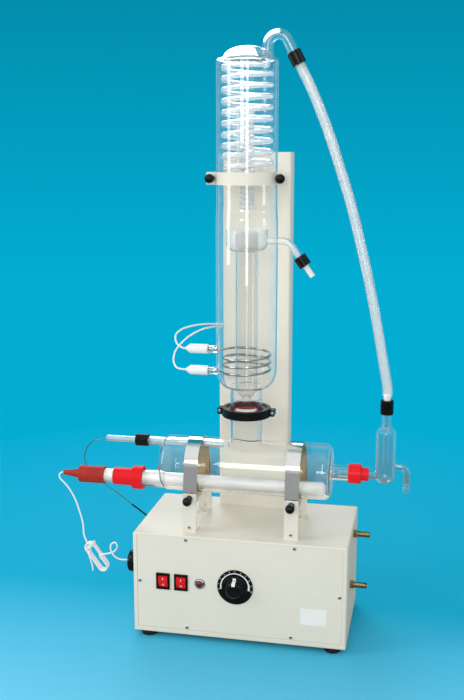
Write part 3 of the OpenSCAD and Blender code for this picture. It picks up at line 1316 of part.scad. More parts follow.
terminal_r = 8.8;
module terminal_boots() color("white") placed() for (z = [spiral_z, spiral_top])
    translate([still_x - vessel_r - arm_len + 7, still_y, z]) along_minus_x() difference() {
        rotate_extrude() polygon([[0, 0], [terminal_r - 0.8, 0], [terminal_r, 0.8], [terminal_r, 34],
            [terminal_r - 0.8, 35.5],
            [2.6, 43], [2.2, 43.4], [0, 43.4]]);
        translate([0, 0, -over]) cylinder(h = 7 + over, r = 7 + run);
        translate([0, 0, -over]) cylinder(h = 8 + over, r = 4.6);
    }

// ---------- Cords ----------
module feed_hose() color("white", 0.7) placed() swept(hose_route, arch_r - 0.5, 12);
module heater_lead() color("white") placed() swept(lead_points, cable_r, 8, start = [0, 1, 0]);
module capillary() color("dimgray") placed() swept(concat(capillary_route, sleeve_route),
    [for (i = [0:len(capillary_route) + len(sleeve_route) - 1])
        i > len(capillary_route) ? sleeve_r : capillary_r], 8);
module element_leads() color("white") placed() {
    swept(upper_route, lead_r, 8);
    swept(lower_route, lead_r, 8);
}

cabinet_shell();
front_panel();
rear_panel();
panel_screws();
feet();
dial_plate();
regulator_knob();
energy_regulator();
switch_bodies();
rocker_left();
rocker_right();
lamp_bezel();
lamp_lens();
lead_bushing();
water_tails();
flow_switch();
thermostat();
mains_gland();
back_plate();
grommets();
column_bracket();
column_strap();
strap_studs();
strap_knob_left();
strap_knob_right();
saddles();
bands();
band_liners();
band_knob_left();
band_knob_right();
bracket_screws();
boiler();
heater_sheath();
heater_element();
heater_cap();
heater_boot();
sensor_tube();
sensor_bulb();
sensor_cap();
inlet_cap();
level_vessel();
level_cap();
hose_nipple();
column_jacket();
outer_coil();
inner_coil();
riser_tube();
collector_cup();
product_cap();
product_nozzle();
arch_cap();
spiral_heater();
terminal_boots();
flange_clamp();
flange_gasket();
clamp_screws();
feed_hose();
element_leads();
heater_lead();
capillary();
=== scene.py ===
"""The looks of a bench water distiller in glass: its shell, glassware, clamps, leads, finishes and studio."""

import json
import math

import bmesh
import bpy
from mathutils import Matrix, Vector

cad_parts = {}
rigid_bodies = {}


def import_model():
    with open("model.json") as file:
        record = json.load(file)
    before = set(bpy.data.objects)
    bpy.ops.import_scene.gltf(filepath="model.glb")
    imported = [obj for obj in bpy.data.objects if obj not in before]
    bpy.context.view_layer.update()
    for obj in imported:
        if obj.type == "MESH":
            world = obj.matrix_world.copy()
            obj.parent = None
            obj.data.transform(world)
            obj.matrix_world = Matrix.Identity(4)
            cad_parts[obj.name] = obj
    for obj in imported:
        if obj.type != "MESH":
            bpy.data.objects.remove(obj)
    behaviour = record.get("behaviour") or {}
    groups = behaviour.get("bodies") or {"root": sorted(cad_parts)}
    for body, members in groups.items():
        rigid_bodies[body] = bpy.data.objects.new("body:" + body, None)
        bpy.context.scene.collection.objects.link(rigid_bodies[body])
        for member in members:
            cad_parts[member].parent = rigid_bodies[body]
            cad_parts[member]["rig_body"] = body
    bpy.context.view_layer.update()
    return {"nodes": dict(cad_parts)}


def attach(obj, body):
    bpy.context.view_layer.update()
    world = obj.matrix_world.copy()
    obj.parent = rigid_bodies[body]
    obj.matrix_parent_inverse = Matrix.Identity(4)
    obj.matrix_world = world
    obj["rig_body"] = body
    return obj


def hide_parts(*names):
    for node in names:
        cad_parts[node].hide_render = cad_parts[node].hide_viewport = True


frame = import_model()

MM = 0.001
# The cabinet's left front corner on the bench, from the model's origin
CORNER = Vector((-169.1, -110.1, 0.0))

# Places in millimetres from that corner, as the solids have them: the controls' height and the panel's face,
# the column's axis and shoulder, the sensor tube, the arms of the spiral heater with the tips of their boots,
# and the back plate's left edge
CONTROL_Z, PANEL_Y = 115.0, 0.5
STILL_X, STILL_Y, TOP_Z = 199.0, 86.0, 1059.5
SENSOR_Z = 360.0
SPIRAL_Z, SPIRAL_TOP, BOOT_TIP_X = 502.0, 542.5, 83.6
PLATE_X = 127.0


def at(x, y, z):
    """A point in metres, from millimetres measured at the cabinet's left front corner."""
    return (Vector((x, y, z)) + CORNER) * MM


def through(*points):
    """The points of a route in metres, from millimetres measured at the same corner."""
    return [at(*point) for point in points]


# ---------------------------------------------------------------- camera

# Solved from the cabinet's edges in the photo: the place in metres, the lens in millimetres, and how far the
# camera looks down and to the left in degrees
CAMERA_SPOT = (0.361, -1.7626, 0.8952)
CAMERA_LENS, CAMERA_DOWN, CAMERA_LEFT = 50.51, 11.247, 11.654

camera_data = bpy.data.cameras.new("studio_camera")
camera_data.lens = CAMERA_LENS
camera_data.sensor_width = 36.0
camera = bpy.data.objects.new("studio_camera", camera_data)
camera.location = CAMERA_SPOT
camera.rotation_euler = (math.radians(90 - CAMERA_DOWN), 0.0, math.radians(CAMERA_LEFT))
bpy.context.scene.collection.objects.link(camera)
bpy.context.scene.camera = camera
bpy.context.scene.view_settings.view_transform = "Standard"


# ---------------------------------------------------------------- node groups shared by the finishes


def new_group(name, inputs, outputs):
    """An empty shader node group with named sockets: (name, kind, default) in, (name, kind) out."""
    group = bpy.data.node_groups.new(name, "ShaderNodeTree")
    for label, kind, default in inputs:
        socket = group.interface.new_socket(name=label, in_out="INPUT", socket_type=kind)
        if default is not None:
            socket.default_value = default
    for label, kind in outputs:
        group.interface.new_socket(name=label, in_out="OUTPUT", socket_type=kind)
    return group, group.nodes.new("NodeGroupInput"), group.nodes.new("NodeGroupOutput")


def math_node(tree, operation, a, b=None, c=None):
    """One step of arithmetic on numbers or sockets."""
    node = tree.nodes.new("ShaderNodeMath")
    node.operation = operation
    for i, value in enumerate((a, b, c)):
        if value is None:
            continue
        if isinstance(value, (int, float)):
            node.inputs[i].default_value = value
        else:
            tree.links.new(value, node.inputs[i])
    return node.outputs[0]


def noise_node(tree, vector, scale, detail=2.0, roughness=0.5):
    """Noise on a vector, at a scale that is a number or a socket."""
    node = tree.nodes.new("ShaderNodeTexNoise")
    node.inputs["Detail"].default_value = detail
    node.inputs["Roughness"].default_value = roughness
    tree.links.new(vector, node.inputs["Vector"])
    if isinstance(scale, (int, float)):
        node.inputs["Scale"].default_value = scale
    else:
        tree.links.new(scale, node.inputs["Scale"])
    return node.outputs["Fac"]


def ranged(tree, value, low, high, to_low=0.0, to_high=1.0):
    """A value carried from one range to another."""
    node = tree.nodes.new("ShaderNodeMapRange")
    for label, number in (("From Min", low), ("From Max", high), ("To Min", to_low), ("To Max", to_high)):
        node.inputs[label].default_value = number
    tree.links.new(value, node.inputs["Value"])
    return node.outputs[0]


def build_handling():
    """Handling marks: soft large blotches and fine streaks, as one value from 0 to 1."""
    group, inside, out = new_group(
        "handling_marks",
        [("Vector", "NodeSocketVector", None), ("Blotch Scale", "NodeSocketFloat", 18.0)],
        [("Value", "NodeSocketFloat")],
    )
    large = noise_node(group, inside.outputs["Vector"], inside.outputs["Blotch Scale"], 4.0, 0.6)
    fine_scale = math_node(group, "MULTIPLY", inside.outputs["Blotch Scale"], 9.0)
    fine = noise_node(group, inside.outputs["Vector"], fine_scale, 3.0, 0.7)
    blend = math_node(group, "MULTIPLY_ADD", fine, 0.35, math_node(group, "MULTIPLY", large, 0.65))
    group.links.new(ranged(group, blend, 0.38, 0.62), out.inputs["Value"])
    return group


def build_dust():
    """Dust that settles on faces that look up, broken by noise, as a mask from 0 to 1."""
    group, inside, out = new_group(
        "settled_dust",
        [("Vector", "NodeSocketVector", None), ("Amount", "NodeSocketFloat", 0.2)],
        [("Mask", "NodeSocketFloat")],
    )
    geometry = group.nodes.new("ShaderNodeNewGeometry")
    split = group.nodes.new("ShaderNodeSeparateXYZ")
    group.links.new(geometry.outputs["Normal"], split.inputs[0])
    upward = ranged(group, split.outputs["Z"], 0.55, 1.0)
    specks = ranged(group, noise_node(group, inside.outputs["Vector"], 55.0, 6.0, 0.75), 0.42, 0.7)
    both = math_node(group, "MULTIPLY", upward, specks)
    group.links.new(math_node(group, "MULTIPLY", both, inside.outputs["Amount"]), out.inputs["Mask"])
    return group


def build_grain():
    """The skin of a moulded or sprayed surface, as a height from 0 to 1."""
    group, inside, out = new_group(
        "surface_grain",
        [("Vector", "NodeSocketVector", None), ("Scale", "NodeSocketFloat", 1500.0)],
        [("Height", "NodeSocketFloat")],
    )
    fine = noise_node(group, inside.outputs["Vector"], inside.outputs["Scale"], 2.0, 0.55)
    broad_scale = math_node(group, "MULTIPLY", inside.outputs["Scale"], 0.12)
    broad = noise_node(group, inside.outputs["Vector"], broad_scale, 2.0, 0.5)
    group.links.new(math_node(group, "MULTIPLY_ADD", broad, 0.6, fine), out.inputs["Height"])
    return group


HANDLING, DUST, GRAIN = build_handling(), build_dust(), build_grain()
DUST_COLOUR = (0.62, 0.6, 0.56)


def place_group(tree, group, vector, **values):
    """The output of a node group on a vector, with its other inputs set by name."""
    node = tree.nodes.new("ShaderNodeGroup")
    node.node_tree = group
    tree.links.new(vector, node.inputs["Vector"])
    for label, value in values.items():
        node.inputs[label.replace("_", " ").title()].default_value = value
    return node.outputs[0]


def start_finish(name):
    """A new material with its tree, its shader and the object's coordinates."""
    finish = bpy.data.materials.new(name)
    finish.use_nodes = True
    tree = finish.node_tree
    shader = tree.nodes["Principled BSDF"]
    coordinates = tree.nodes.new("ShaderNodeTexCoord").outputs["Object"]
    return finish, tree, shader, coordinates


def bump_from(tree, shader, height, strength, distance):
    """Bump from a height, on the shader's normal."""
    bump = tree.nodes.new("ShaderNodeBump")
    bump.inputs["Strength"].default_value = strength
    bump.inputs["Distance"].default_value = distance
    tree.links.new(height, bump.inputs["Height"])
    tree.links.new(bump.outputs[0], shader.inputs["Normal"])


def colour_mix(tree, factor, first, second):
    """Two colours mixed by a value that changes over the surface."""
    mix = tree.nodes.new("ShaderNodeMix")
    mix.data_type = "RGBA"
    tree.links.new(factor, mix.inputs["Factor"])
    for socket, colour in ((mix.inputs["A"], first), (mix.inputs["B"], second)):
        if isinstance(colour, (tuple, list)):
            socket.default_value = (*colour, 1.0)
        else:
            tree.links.new(colour, socket)
    return mix.outputs["Result"]


def coated_finish(
    name, colour, shade, roughness, grain=1500.0, depth=0.00004, dust=0.0, blotch=18.0, **sockets
):
    """Paint, plastic or rubber: two close colours, grain in the skin, marks in the gloss, dust on top."""
    finish, tree, shader, vector = start_finish(name)
    marks = place_group(tree, HANDLING, vector, blotch_scale=blotch)
    skin = colour_mix(tree, marks, colour, shade)
    if dust:
        skin = colour_mix(tree, place_group(tree, DUST, vector, amount=dust), skin, DUST_COLOUR)
    tree.links.new(skin, shader.inputs["Base Color"])
    low, high = roughness
    tree.links.new(ranged(tree, marks, 0.0, 1.0, low, high), shader.inputs["Roughness"])
    bump_from(tree, shader, place_group(tree, GRAIN, vector, scale=grain), 0.5, depth)
    for label, value in sockets.items():
        shader.inputs[label.replace("_", " ")].default_value = value
    return finish


def metal_finish(name, colour, shade, roughness, scale=900.0, depth=0.00002, tarnish=None):
    """Metal: two close colours, fine noise in the gloss and the skin, and patches of tarnish."""
    finish, tree, shader, vector = start_finish(name)
    marks = place_group(tree, HANDLING, vector, blotch_scale=26.0)
    skin = colour_mix(tree, marks, colour, shade)
    if tarnish:
        patches = ranged(tree, noise_node(tree, vector, 120.0, 5.0, 0.7), 0.5, 0.72)
        skin = colour_mix(tree, patches, skin, tarnish)
    tree.links.new(skin, shader.inputs["Base Color"])
    shader.inputs["Metallic"].default_value = 1.0
    fine = noise_node(tree, vector, scale, 3.0, 0.6)
    low, high = roughness
    tree.links.new(ranged(tree, fine, 0.3, 0.7, low, high), shader.inputs["Roughness"])
    bump_from(tree, shader, fine, 0.4, depth)
    return finish


# How much of the light gets through clear walls to the surfaces behind them
SHADOW_TINT = (0.985, 0.987, 0.985, 1.0)


def glass_finish(name, tint, ior, haze, roughness=0.0, wave=0.00012, scale=22.0, cloud=None, through=1.0):
    """Blown glass or clear hose: slow waves in the wall, a faint tint, a haze at the rims, pale shadows."""
    finish, tree, shader, vector = start_finish(name)
    shader.inputs["Transmission Weight"].default_value = through
    shader.inputs["IOR"].default_value = ior
    shader.inputs["Sheen Weight"].default_value = haze
    shader.inputs["Sheen Roughness"].default_value = 0.35
    if cloud:
        wisps = ranged(tree, noise_node(tree, vector, 45.0, 4.0, 0.6), 0.35, 0.75)
        tree.links.new(colour_mix(tree, wisps, tint, cloud), shader.inputs["Base Color"])
        tree.links.new(ranged(tree, wisps, 0.0, 1.0, roughness, roughness + 0.12), shader.inputs["Roughness"])
    else:
        shader.inputs["Base Color"].default_value = (*tint, 1.0)
        shader.inputs["Roughness"].default_value = roughness
    bump_from(tree, shader, noise_node(tree, vector, scale, 1.0, 0.4), 1.0, wave)
    clear = tree.nodes.new("ShaderNodeBsdfTransparent")
    clear.inputs["Color"].default_value = SHADOW_TINT
    path = tree.nodes.new("ShaderNodeLightPath")
    mix = tree.nodes.new("ShaderNodeMixShader")
    tree.links.new(path.outputs["Is Shadow Ray"], mix.inputs[0])
    tree.links.new(shader.outputs[0], mix.inputs[1])
    tree.links.new(clear.outputs[0], mix.inputs[2])
    tree.links.new(mix.outputs[0], tree.nodes["Material Output"].inputs["Surface"])
    return finish


# ---------------------------------------------------------------- finishes

cream_paint = coated_finish(
    "cream_powder_paint", (0.82, 0.79, 0.69), (0.79, 0.76, 0.66), (0.32, 0.44),
    grain=1100.0, depth=0.00006, dust=0.06, blotch=9.0, Specular_IOR_Level=0.4,
)
black_plastic = coated_finish(
    "black_moulded_plastic", (0.003, 0.003, 0.0035), (0.006, 0.006, 0.0065), (0.16, 0.26),
    grain=2300.0, depth=0.000012, Specular_IOR_Level=0.25,
)
black_rubber = coated_finish(
    "black_rubber", (0.008, 0.008, 0.008), (0.016, 0.016, 0.015), (0.55, 0.7),
    grain=1800.0, depth=0.00005, Specular_IOR_Level=0.25,
)
grey_plastic = coated_finish(
    "grey_moulded_plastic", (0.2, 0.21, 0.23), (0.25, 0.26, 0.28), (0.4, 0.55), dust=0.2,
)
white_plastic = coated_finish(
    "white_moulded_plastic", (0.86, 0.865, 0.86), (0.8, 0.805, 0.8), (0.28, 0.4),
    depth=0.00002, Subsurface_Weight=0.15, Subsurface_Scale=0.002,
)
red_cap_plastic = coated_finish(
    "red_screw_cap_plastic", (0.86, 0.008, 0.018), (0.80, 0.007, 0.015), (0.3, 0.42),
    grain=2000.0, depth=0.00002, blotch=60.0, Specular_IOR_Level=0.22,
)
rocker_plastic = coated_finish(
    "red_rocker_plastic", (0.80, 0.010, 0.018), (0.72, 0.008, 0.014), (0.14, 0.24),
    depth=0.00001, blotch=60.0, Specular_IOR_Level=0.35,
)
lens_plastic = coated_finish(
    "dark_red_lens", (0.16, 0.004, 0.009), (0.22, 0.006, 0.012), (0.06, 0.12),
    depth=0.00001, blotch=80.0, Specular_IOR_Level=0.4, Coat_Weight=0.4, Coat_Roughness=0.04,
)
brown_silicone = coated_finish(
    "brown_red_silicone", (0.46, 0.026, 0.017), (0.36, 0.02, 0.014), (0.4, 0.55),
    grain=1600.0, depth=0.00004, blotch=40.0, Specular_IOR_Level=0.3,
)
red_gasket_rubber = coated_finish(
    "red_gasket_silicone", (0.45, 0.03, 0.024), (0.36, 0.022, 0.018), (0.4, 0.55),
)
amber_liner = coated_finish(
    "amber_liner_silicone", (0.33, 0.23, 0.06), (0.26, 0.18, 0.045), (0.32, 0.46),
    Subsurface_Weight=0.2, Subsurface_Scale=0.001,
)
white_silicone = coated_finish(
    "white_silicone", (0.9, 0.91, 0.91), (0.85, 0.865, 0.87), (0.36, 0.5),
    grain=1400.0, depth=0.00003, Subsurface_Weight=0.3, Subsurface_Scale=0.003,
)
white_sleeving = coated_finish(
    "white_sleeving", (0.92, 0.925, 0.93), (0.86, 0.87, 0.88), (0.42, 0.55),
    grain=2600.0, depth=0.00003, Subsurface_Weight=0.1, Subsurface_Scale=0.001,
)
former_ceramic = coated_finish(
    "white_former_ceramic", (0.88, 0.875, 0.86), (0.8, 0.795, 0.78), (0.5, 0.66), grain=1300.0, depth=0.00004,
)
print_white = coated_finish("white_print", (0.9, 0.9, 0.9), (0.84, 0.84, 0.84), (0.4, 0.5), depth=0.00001)
label_white = coated_finish(
    "label_foil_white", (0.93, 0.935, 0.93), (0.88, 0.885, 0.88), (0.22, 0.34), depth=0.00001, blotch=50.0,
)
band_steel = metal_finish(
    "brushed_steel_band", (0.80, 0.795, 0.775), (0.74, 0.735, 0.715), (0.1, 0.15),
    scale=500.0, depth=0.000006,
)
bright_steel = metal_finish("bright_steel", (0.76, 0.765, 0.77), (0.68, 0.685, 0.695), (0.12, 0.22))
element_metal = metal_finish(
    "heater_spiral_metal", (0.62, 0.615, 0.6), (0.5, 0.495, 0.48), (0.14, 0.28), tarnish=(0.34, 0.325, 0.3),
)
capillary_metal = metal_finish("capillary_metal", (0.3, 0.31, 0.32), (0.22, 0.225, 0.235), (0.35, 0.5))
old_brass = metal_finish(
    "old_brass", (0.42, 0.3, 0.14), (0.3, 0.2, 0.08), (0.24, 0.4), tarnish=(0.08, 0.05, 0.025),
)
borosilicate = glass_finish("borosilicate_glass", (0.988, 0.994, 0.992), 1.474, haze=0.42)
coil_glass = glass_finish(
    "coil_glass", (0.97, 0.985, 0.992), 1.474, haze=0.35, roughness=0.06, wave=0.00005, scale=60.0,
    through=0.91,
)
wet_glass = glass_finish(
    "wet_glass", (0.97, 0.98, 0.985), 1.474, haze=0.25, roughness=0.14, wave=0.0002, scale=160.0,
    cloud=(0.95, 0.96, 0.965), through=0.92,
)
quartz_glass = glass_finish(
    "frosted_quartz", (0.93, 0.925, 0.91), 1.46, haze=0.15, roughness=0.16, wave=0.00002, scale=30.0,
    through=0.68,
)
hose_plastic = glass_finish(
    "clear_hose_plastic", (0.93, 0.93, 0.92), 1.43, haze=0.15, roughness=0.16, wave=0.00003, scale=20.0,
    cloud=(0.88, 0.88, 0.87), through=0.82,
)


# ---------------------------------------------------------------- making pieces


def end_piece(bm, name, finish, body="stand", stands_for=(), sharp=35.0, recalculate=True):
    """Turns a bmesh into a piece: normals out, smooth round faces, finish, body and CAD nodes."""
    if recalculate:
        bmesh.ops.recalc_face_normals(bm, faces=bm.faces)
    limit = math.radians(sharp)
    for face in bm.faces:
        face.smooth = True
    for edge in bm.edges:
        edge.smooth = len(edge.link_faces) == 2 and edge.calc_face_angle(0.0) < limit
    mesh = bpy.data.meshes.new(name)
    bm.to_mesh(mesh)
    bm.free()
    mesh.materials.append(finish)
    piece = bpy.data.objects.new(name, mesh)
    bpy.context.scene.collection.objects.link(piece)
    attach(piece, body)
    if stands_for:
        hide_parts(*stands_for)
    return piece


def round_copy(node, name, finish, sharp=30.0):
    """A CAD node's own shape with its triangles joined, so that its round walls shade round."""
    source = frame["nodes"][node]
    bm = bmesh.new()
    bm.from_mesh(source.data)
    bmesh.ops.remove_doubles(bm, verts=bm.verts, dist=2e-6)
    bmesh.ops.dissolve_degenerate(bm, edges=bm.edges, dist=1e-7)
    piece = end_piece(bm, name, finish, source["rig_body"], (node,), sharp, recalculate=False)
    for attribute in list(piece.data.attributes):
        if attribute.name.startswith("custom_normal"):
            piece.data.attributes.remove(attribute)


def spun(profile, place, steps):
    """A bmesh with a turned shape: (radius, height) points in millimetres, spun round +Z of a placement."""
    bm = bmesh.new()
    verts = [bm.verts.new((r * MM, 0.0, h * MM)) for r, h in profile]
    edges = [bm.edges.new(pair) for pair in zip(verts, verts[1:])]
    bmesh.ops.spin(
        bm, geom=verts + edges, cent=(0, 0, 0), axis=(0, 0, 1), angle=math.tau, steps=steps, use_merge=True
    )
    bmesh.ops.remove_doubles(bm, verts=bm.verts, dist=1e-7)
    bmesh.ops.transform(bm, matrix=place, verts=bm.verts)
    return bm


def smooth_path(points, per_span=4):
    """A smooth line through points: Catmull and Rom's curve, with per_span steps between two of them."""
    ends = [2 * points[0] - points[1], *points, 2 * points[-1] - points[-2]]
    line = []
    for a, b, c, d in zip(ends, ends[1:], ends[2:], ends[3:]):
        for k in range(per_span):
            t = k / per_span
            square, cube = 2 * a - 5 * b + 4 * c - d, 3 * b - a - 3 * c + d
            line.append(0.5 * (2 * b + (c - a) * t + square * t * t + cube * t**3))
    return [*line, points[-1]]


def swept(bm, line, radius, sides=16, closed_ends=True):
    """Adds a round tube along a line in metres: each ring is extruded from the last, square to the line."""
    count = len(line)
    tangents = [(line[min(i + 1, count - 1)] - line[max(i - 1, 0)]).normalized() for i in range(count)]
    side = tangents[0].orthogonal().normalized()
    ring_edges, rings = None, []
    for i in range(count):
        side = (side - side.dot(tangents[i]) * tangents[i]).normalized()
        other = tangents[i].cross(side)
        spots = [
            line[i] + radius * (math.cos(turn) * side + math.sin(turn) * other)
            for turn in (math.tau * k / sides for k in range(sides))
        ]
        if ring_edges is None:
            ordered = bmesh.ops.create_circle(bm, segments=sides, radius=radius)["verts"]
            ring_edges = list(dict.fromkeys(e for v in ordered for e in v.link_edges))
        else:
            made = bmesh.ops.extrude_edge_only(bm, edges=ring_edges)["geom"]
            ring_edges = [g for g in made if isinstance(g, bmesh.types.BMEdge)]
            fresh = {g for g in made if isinstance(g, bmesh.types.BMVert)}
            ordered = [
                next(e.other_vert(v) for e in v.link_edges if e.other_vert(v) in fresh) for v in ordered
            ]
        for vert, spot in zip(ordered, spots):
            vert.co = spot
        rings.append(ordered)
    if closed_ends:
        bm.faces.new(rings[0])
        bm.faces.new(rings[-1])
    return rings


def tube_piece(name, line, outer, inner, finish, body="stand", stands_for=(), sides=20):
    """A hollow tube along a line: the outer wall, the bore, and their rims bridged."""
    bm = bmesh.new()
    skin = swept(bm, line, outer, sides, closed_ends=False)
    bore = swept(bm, line, inner, sides, closed_ends=False)
    for one, two in ((skin[0], bore[0]), (skin[-1], bore[-1])):
        for k in range(sides):
            j = (k + 1) % sides
            bm.faces.new((one[k], one[j], two[j], two[k]))
    return end_piece(bm, name, finish, body, stands_for)


# ---------------------------------------------------------------- cords

# Radii in millimetres: the hose and its bore, the leads, the heater's cable, the capillary and its sleeve
HOSE_R, HOSE_BORE, LEAD_R, CABLE_R, CAPILLARY_R, SLEEVE_R = 8.8, 6.4, 1.65, 1.5, 0.9, 1.6
# The column's arch: its foot from the axis, its bend, the slant of its way out and its straight rise
ARCH_X, ARCH_BEND, ARCH_TILT, ARCH_RISE = 36.0, 18.0, math.radians(27.6), 21.0
# Where the hose starts on the arch's way out, where it ends over the level vessel, and its straight ends
HOSE_START, HOSE_FOOT, LEVEL_AXIS, HOSE_STRAIGHT = 46.6, 471.0, 457.0, 12.0
# The leads start a little inside their boots and end in the back plate's grommet
LEAD_START_X, LEAD_END_X = BOOT_TIP_X - 0.1, PLATE_X - 1.2


def arch_out(q):
    """A point on the arch's slanting way out, q millimetres past its bend."""
    return at(
        STILL_X + ARCH_X + ARCH_BEND * (1 + math.cos(ARCH_TILT)) + q * math.sin(ARCH_TILT),
        STILL_Y,
        TOP_Z + ARCH_RISE + ARCH_BEND * math.sin(ARCH_TILT) - q * math.cos(ARCH_TILT),
    )


hose_bends = (
    (309, 1012), (327, 972), (345, 926), (363, 874), (382, 816), (400, 750), (416, 686), (430, 623),
    (442, 563), (450, 520), (455, 495),
)
hose_route = [arch_out(HOSE_START), arch_out(HOSE_START + HOSE_STRAIGHT)]
hose_route += [at(x, STILL_Y, z) for x, z in hose_bends]
hose_route += [at(LEVEL_AXIS, STILL_Y, HOSE_FOOT + HOSE_STRAIGHT), at(LEVEL_AXIS, STILL_Y, HOSE_FOOT)]
upper_route = through(
    (LEAD_START_X, 86, SPIRAL_TOP), (77, 86, 543), (65, 90, 551), (61, 100, 564), (70, 114, 573),
    (86, 131, 577), (100, 150, 577), (109, 168, 575), (115, 182, 572.5), (120, 188, 572),
    (LEAD_END_X, 188, 572),
)
lower_route = through(
    (LEAD_START_X, 86, SPIRAL_Z), (77, 86, 502), (64, 91, 504), (56, 100, 515), (57, 109, 530),
    (65, 118, 543), (77, 129, 555), (90, 143, 563), (101, 159, 567), (109, 175, 567), (115, 189, 566.5),
    (120, 194, 566), (LEAD_END_X, 194, 566),
)
# The heater's lead: from its boot down to the hank, round the hank, and from there into the bushing
drop_route = through(
    (-165.5, 86, 284.5), (-170.5, 86, 283.5), (-174.5, 85.5, 279), (-173, 84.5, 272), (-164, 82, 265),
    (-153.5, 78.5, 256), (-144.5, 75, 245), (-136, 71, 232), (-127, 66, 212), (-120.5, 62, 194),
    (-118, 59.5, 178), (-116.5, 58, 167),
)
tail_route = through(
    (-65, 40, 142), (-53, 36, 147), (-44, 32, 155), (-40, 29, 165), (-44, 27, 172), (-51, 25.5, 168),
    (-52, 25, 158), (-47, 25.5, 147), (-39, 27, 140), (-31, 29, 137.5), (-24, 30, 137.5), (-17, 30, 137.5),
)
# The hank: its middle, its turns with their end radius and half their straight side, its slant, and how the
# turns come forward
HANK_MID, HANK_TURNS, HANK_R, HANK_SIDE = (-88.0, 132.0), 3, 9.0, 22.0
HANK_TILT, HANK_BACK, HANK_PITCH, HANK_STEPS = math.radians(54), 56.0, 4.2, 24


def hank_place(u, v, y):
    """A point of the hank's slanting plane in millimetres: u along its turns, v across them, at a depth y."""
    c, s = math.cos(HANK_TILT), math.sin(HANK_TILT)
    return (HANK_MID[0] + u * c + v * s, y, HANK_MID[1] - u * s + v * c)


def hank_point(k):
    """A point of the hank: a long loop wound on itself, each turn in front of the last."""
    f = k % HANK_STEPS
    if f < 4:
        u, v = HANK_SIDE * (f - 2) / 2, -HANK_R
    elif f < 12:
        a = math.radians(22.5 * (f - 4))
        u, v = HANK_SIDE + HANK_R * math.sin(a), -HANK_R * math.cos(a)
    elif f < 16:
        u, v = HANK_SIDE * (14 - f) / 2, HANK_R
    else:
        a = math.radians(22.5 * (f - 16))
        u, v = -HANK_SIDE - HANK_R * math.sin(a), HANK_R * math.cos(a)
    return hank_place(u, v, HANK_BACK - HANK_PITCH * k / HANK_STEPS)


hank_route = through(*[hank_point(k) for k in range(1, HANK_STEPS * HANK_TURNS + 15)])
lead_route = drop_route + hank_route + tail_route

# The sensor's tube with its bore, and the bulb that rests in it; the capillary starts at the bulb's end
TUBE_END_X, TUBE_R, TUBE_WALL = STILL_X - 32.0, 5.8, 1.2
BULB_L, BULB_R, BULB_GAP = 100.0, 3.2, 0.1
BULB_END = TUBE_END_X - BULB_L
BULB_Z = SENSOR_Z - TUBE_R + TUBE_WALL + BULB_R + BULB_GAP
capillary_route = through(
    (BULB_END, 86, BULB_Z), (BULB_END - 6, 86, BULB_Z), (40, 86, 357), (-20, 86, 356.4), (-70, 86, 356.4),
    (-79, 86, 356.3), (-90, 87, 354.8), (-103, 90, 351), (-115, 95, 341), (-123, 100, 328),
    (-128, 104, 314), (-127.5, 108, 298), (-118, 110, 283), (-104, 111, 270), (-89, 111, 256),
    (-73, 113, 245), (-58, 117, 232),
)
sleeve_route = through(
    (-39, 125, 213), (-38.6, 125.2, 212.6), (-28, 131, 202), (-19, 138.5, 191), (-13, 144.5, 182),
    (-8.5, 148.8, 176.8), (-4.8, 150, 175), (-1.3, 150, 175),
)


def cord_piece(name, route, radius, finish, slot, stands_for, per_span=4, sides=12, inner=None, **facts):
    """A cord as a round tube through its route, hollow if it has an inner radius, as long as its line."""
    line = smooth_path(route, per_span)
    if inner:
        piece = tube_piece(name, line, radius * MM, inner * MM, finish, "stand", stands_for, sides)
    else:
        bm = bmesh.new()
        swept(bm, line, radius * MM, sides)
        piece = end_piece(bm, name, finish, "stand", stands_for)


cord_piece(
    "feed_hose_tube", hose_route, HOSE_R, hose_plastic, "clear_hose", ("feed_hose",), 6, 28, inner=HOSE_BORE,
    stiffness="stiff", lay="hanging",
)
cord_piece(
    "upper_element_lead", upper_route, LEAD_R, white_sleeving, "white_sleeve", ("element_leads",),
    stiffness="limp", lay="hanging",
)
cord_piece(
    "lower_element_lead", lower_route, LEAD_R, white_sleeving, "white_sleeve", ("element_leads",),
    stiffness="limp", lay="hanging",
)
cord_piece(
    "heater_lead_cable", lead_route, CABLE_R, white_sleeving, "white_sleeve", ("heater_lead",), 2,
    stiffness="limp", lay="hanging",
)
sleeve_bm = bmesh.new()
swept(sleeve_bm, smooth_path(sleeve_route, 4), SLEEVE_R * MM, 12)
capillary_sleeve = end_piece(sleeve_bm, "capillary_sleeve", black_rubber)
cord_piece(
    "capillary_line", capillary_route + sleeve_route, CAPILLARY_R, capillary_metal, "capillary_metal",
    ("capillary",), stiffness="stiff", lay="hanging", with_pieces=[capillary_sleeve],
)


# ---------------------------------------------------------------- glass that is wound

# The outer coil, the inner coil or core, and the heater's spiral: radius of the turns, radius of the tube,
# wall of the tube where it is hollow, pitch and number of turns
COIL_R, COIL_TUBE, COIL_WALL, COIL_PITCH, COIL_TURNS = 42.5, 4.5, 1.1, 19.0, 9
CORE_R, CORE_TUBE, CORE_WALL, CORE_PITCH, CORE_TURNS = 10.5, 3.1, 0.9, 8.5, 20
SPIRAL_R, SPIRAL_TUBE, SPIRAL_PITCH, SPIRAL_TURNS = 43.5, 2.3, 13.5, 3
# The column's radius at the coils and at the spiral
CONDENSER_R, VESSEL_R = 54.5, 56.0
COIL_TOP = TOP_Z - 14
COIL_LOW = COIL_TOP - COIL_TURNS * COIL_PITCH
CORE_TOP = TOP_Z - 89
CORE_LOW = CORE_TOP - CORE_TURNS * CORE_PITCH
# Where the two coils' link stands, and where the outer coil takes over
LINK_R, LINK_A, LINK_Z = 26.0, 140.0, COIL_LOW - 6
# Steps between two points of a wound line
FINE = 2


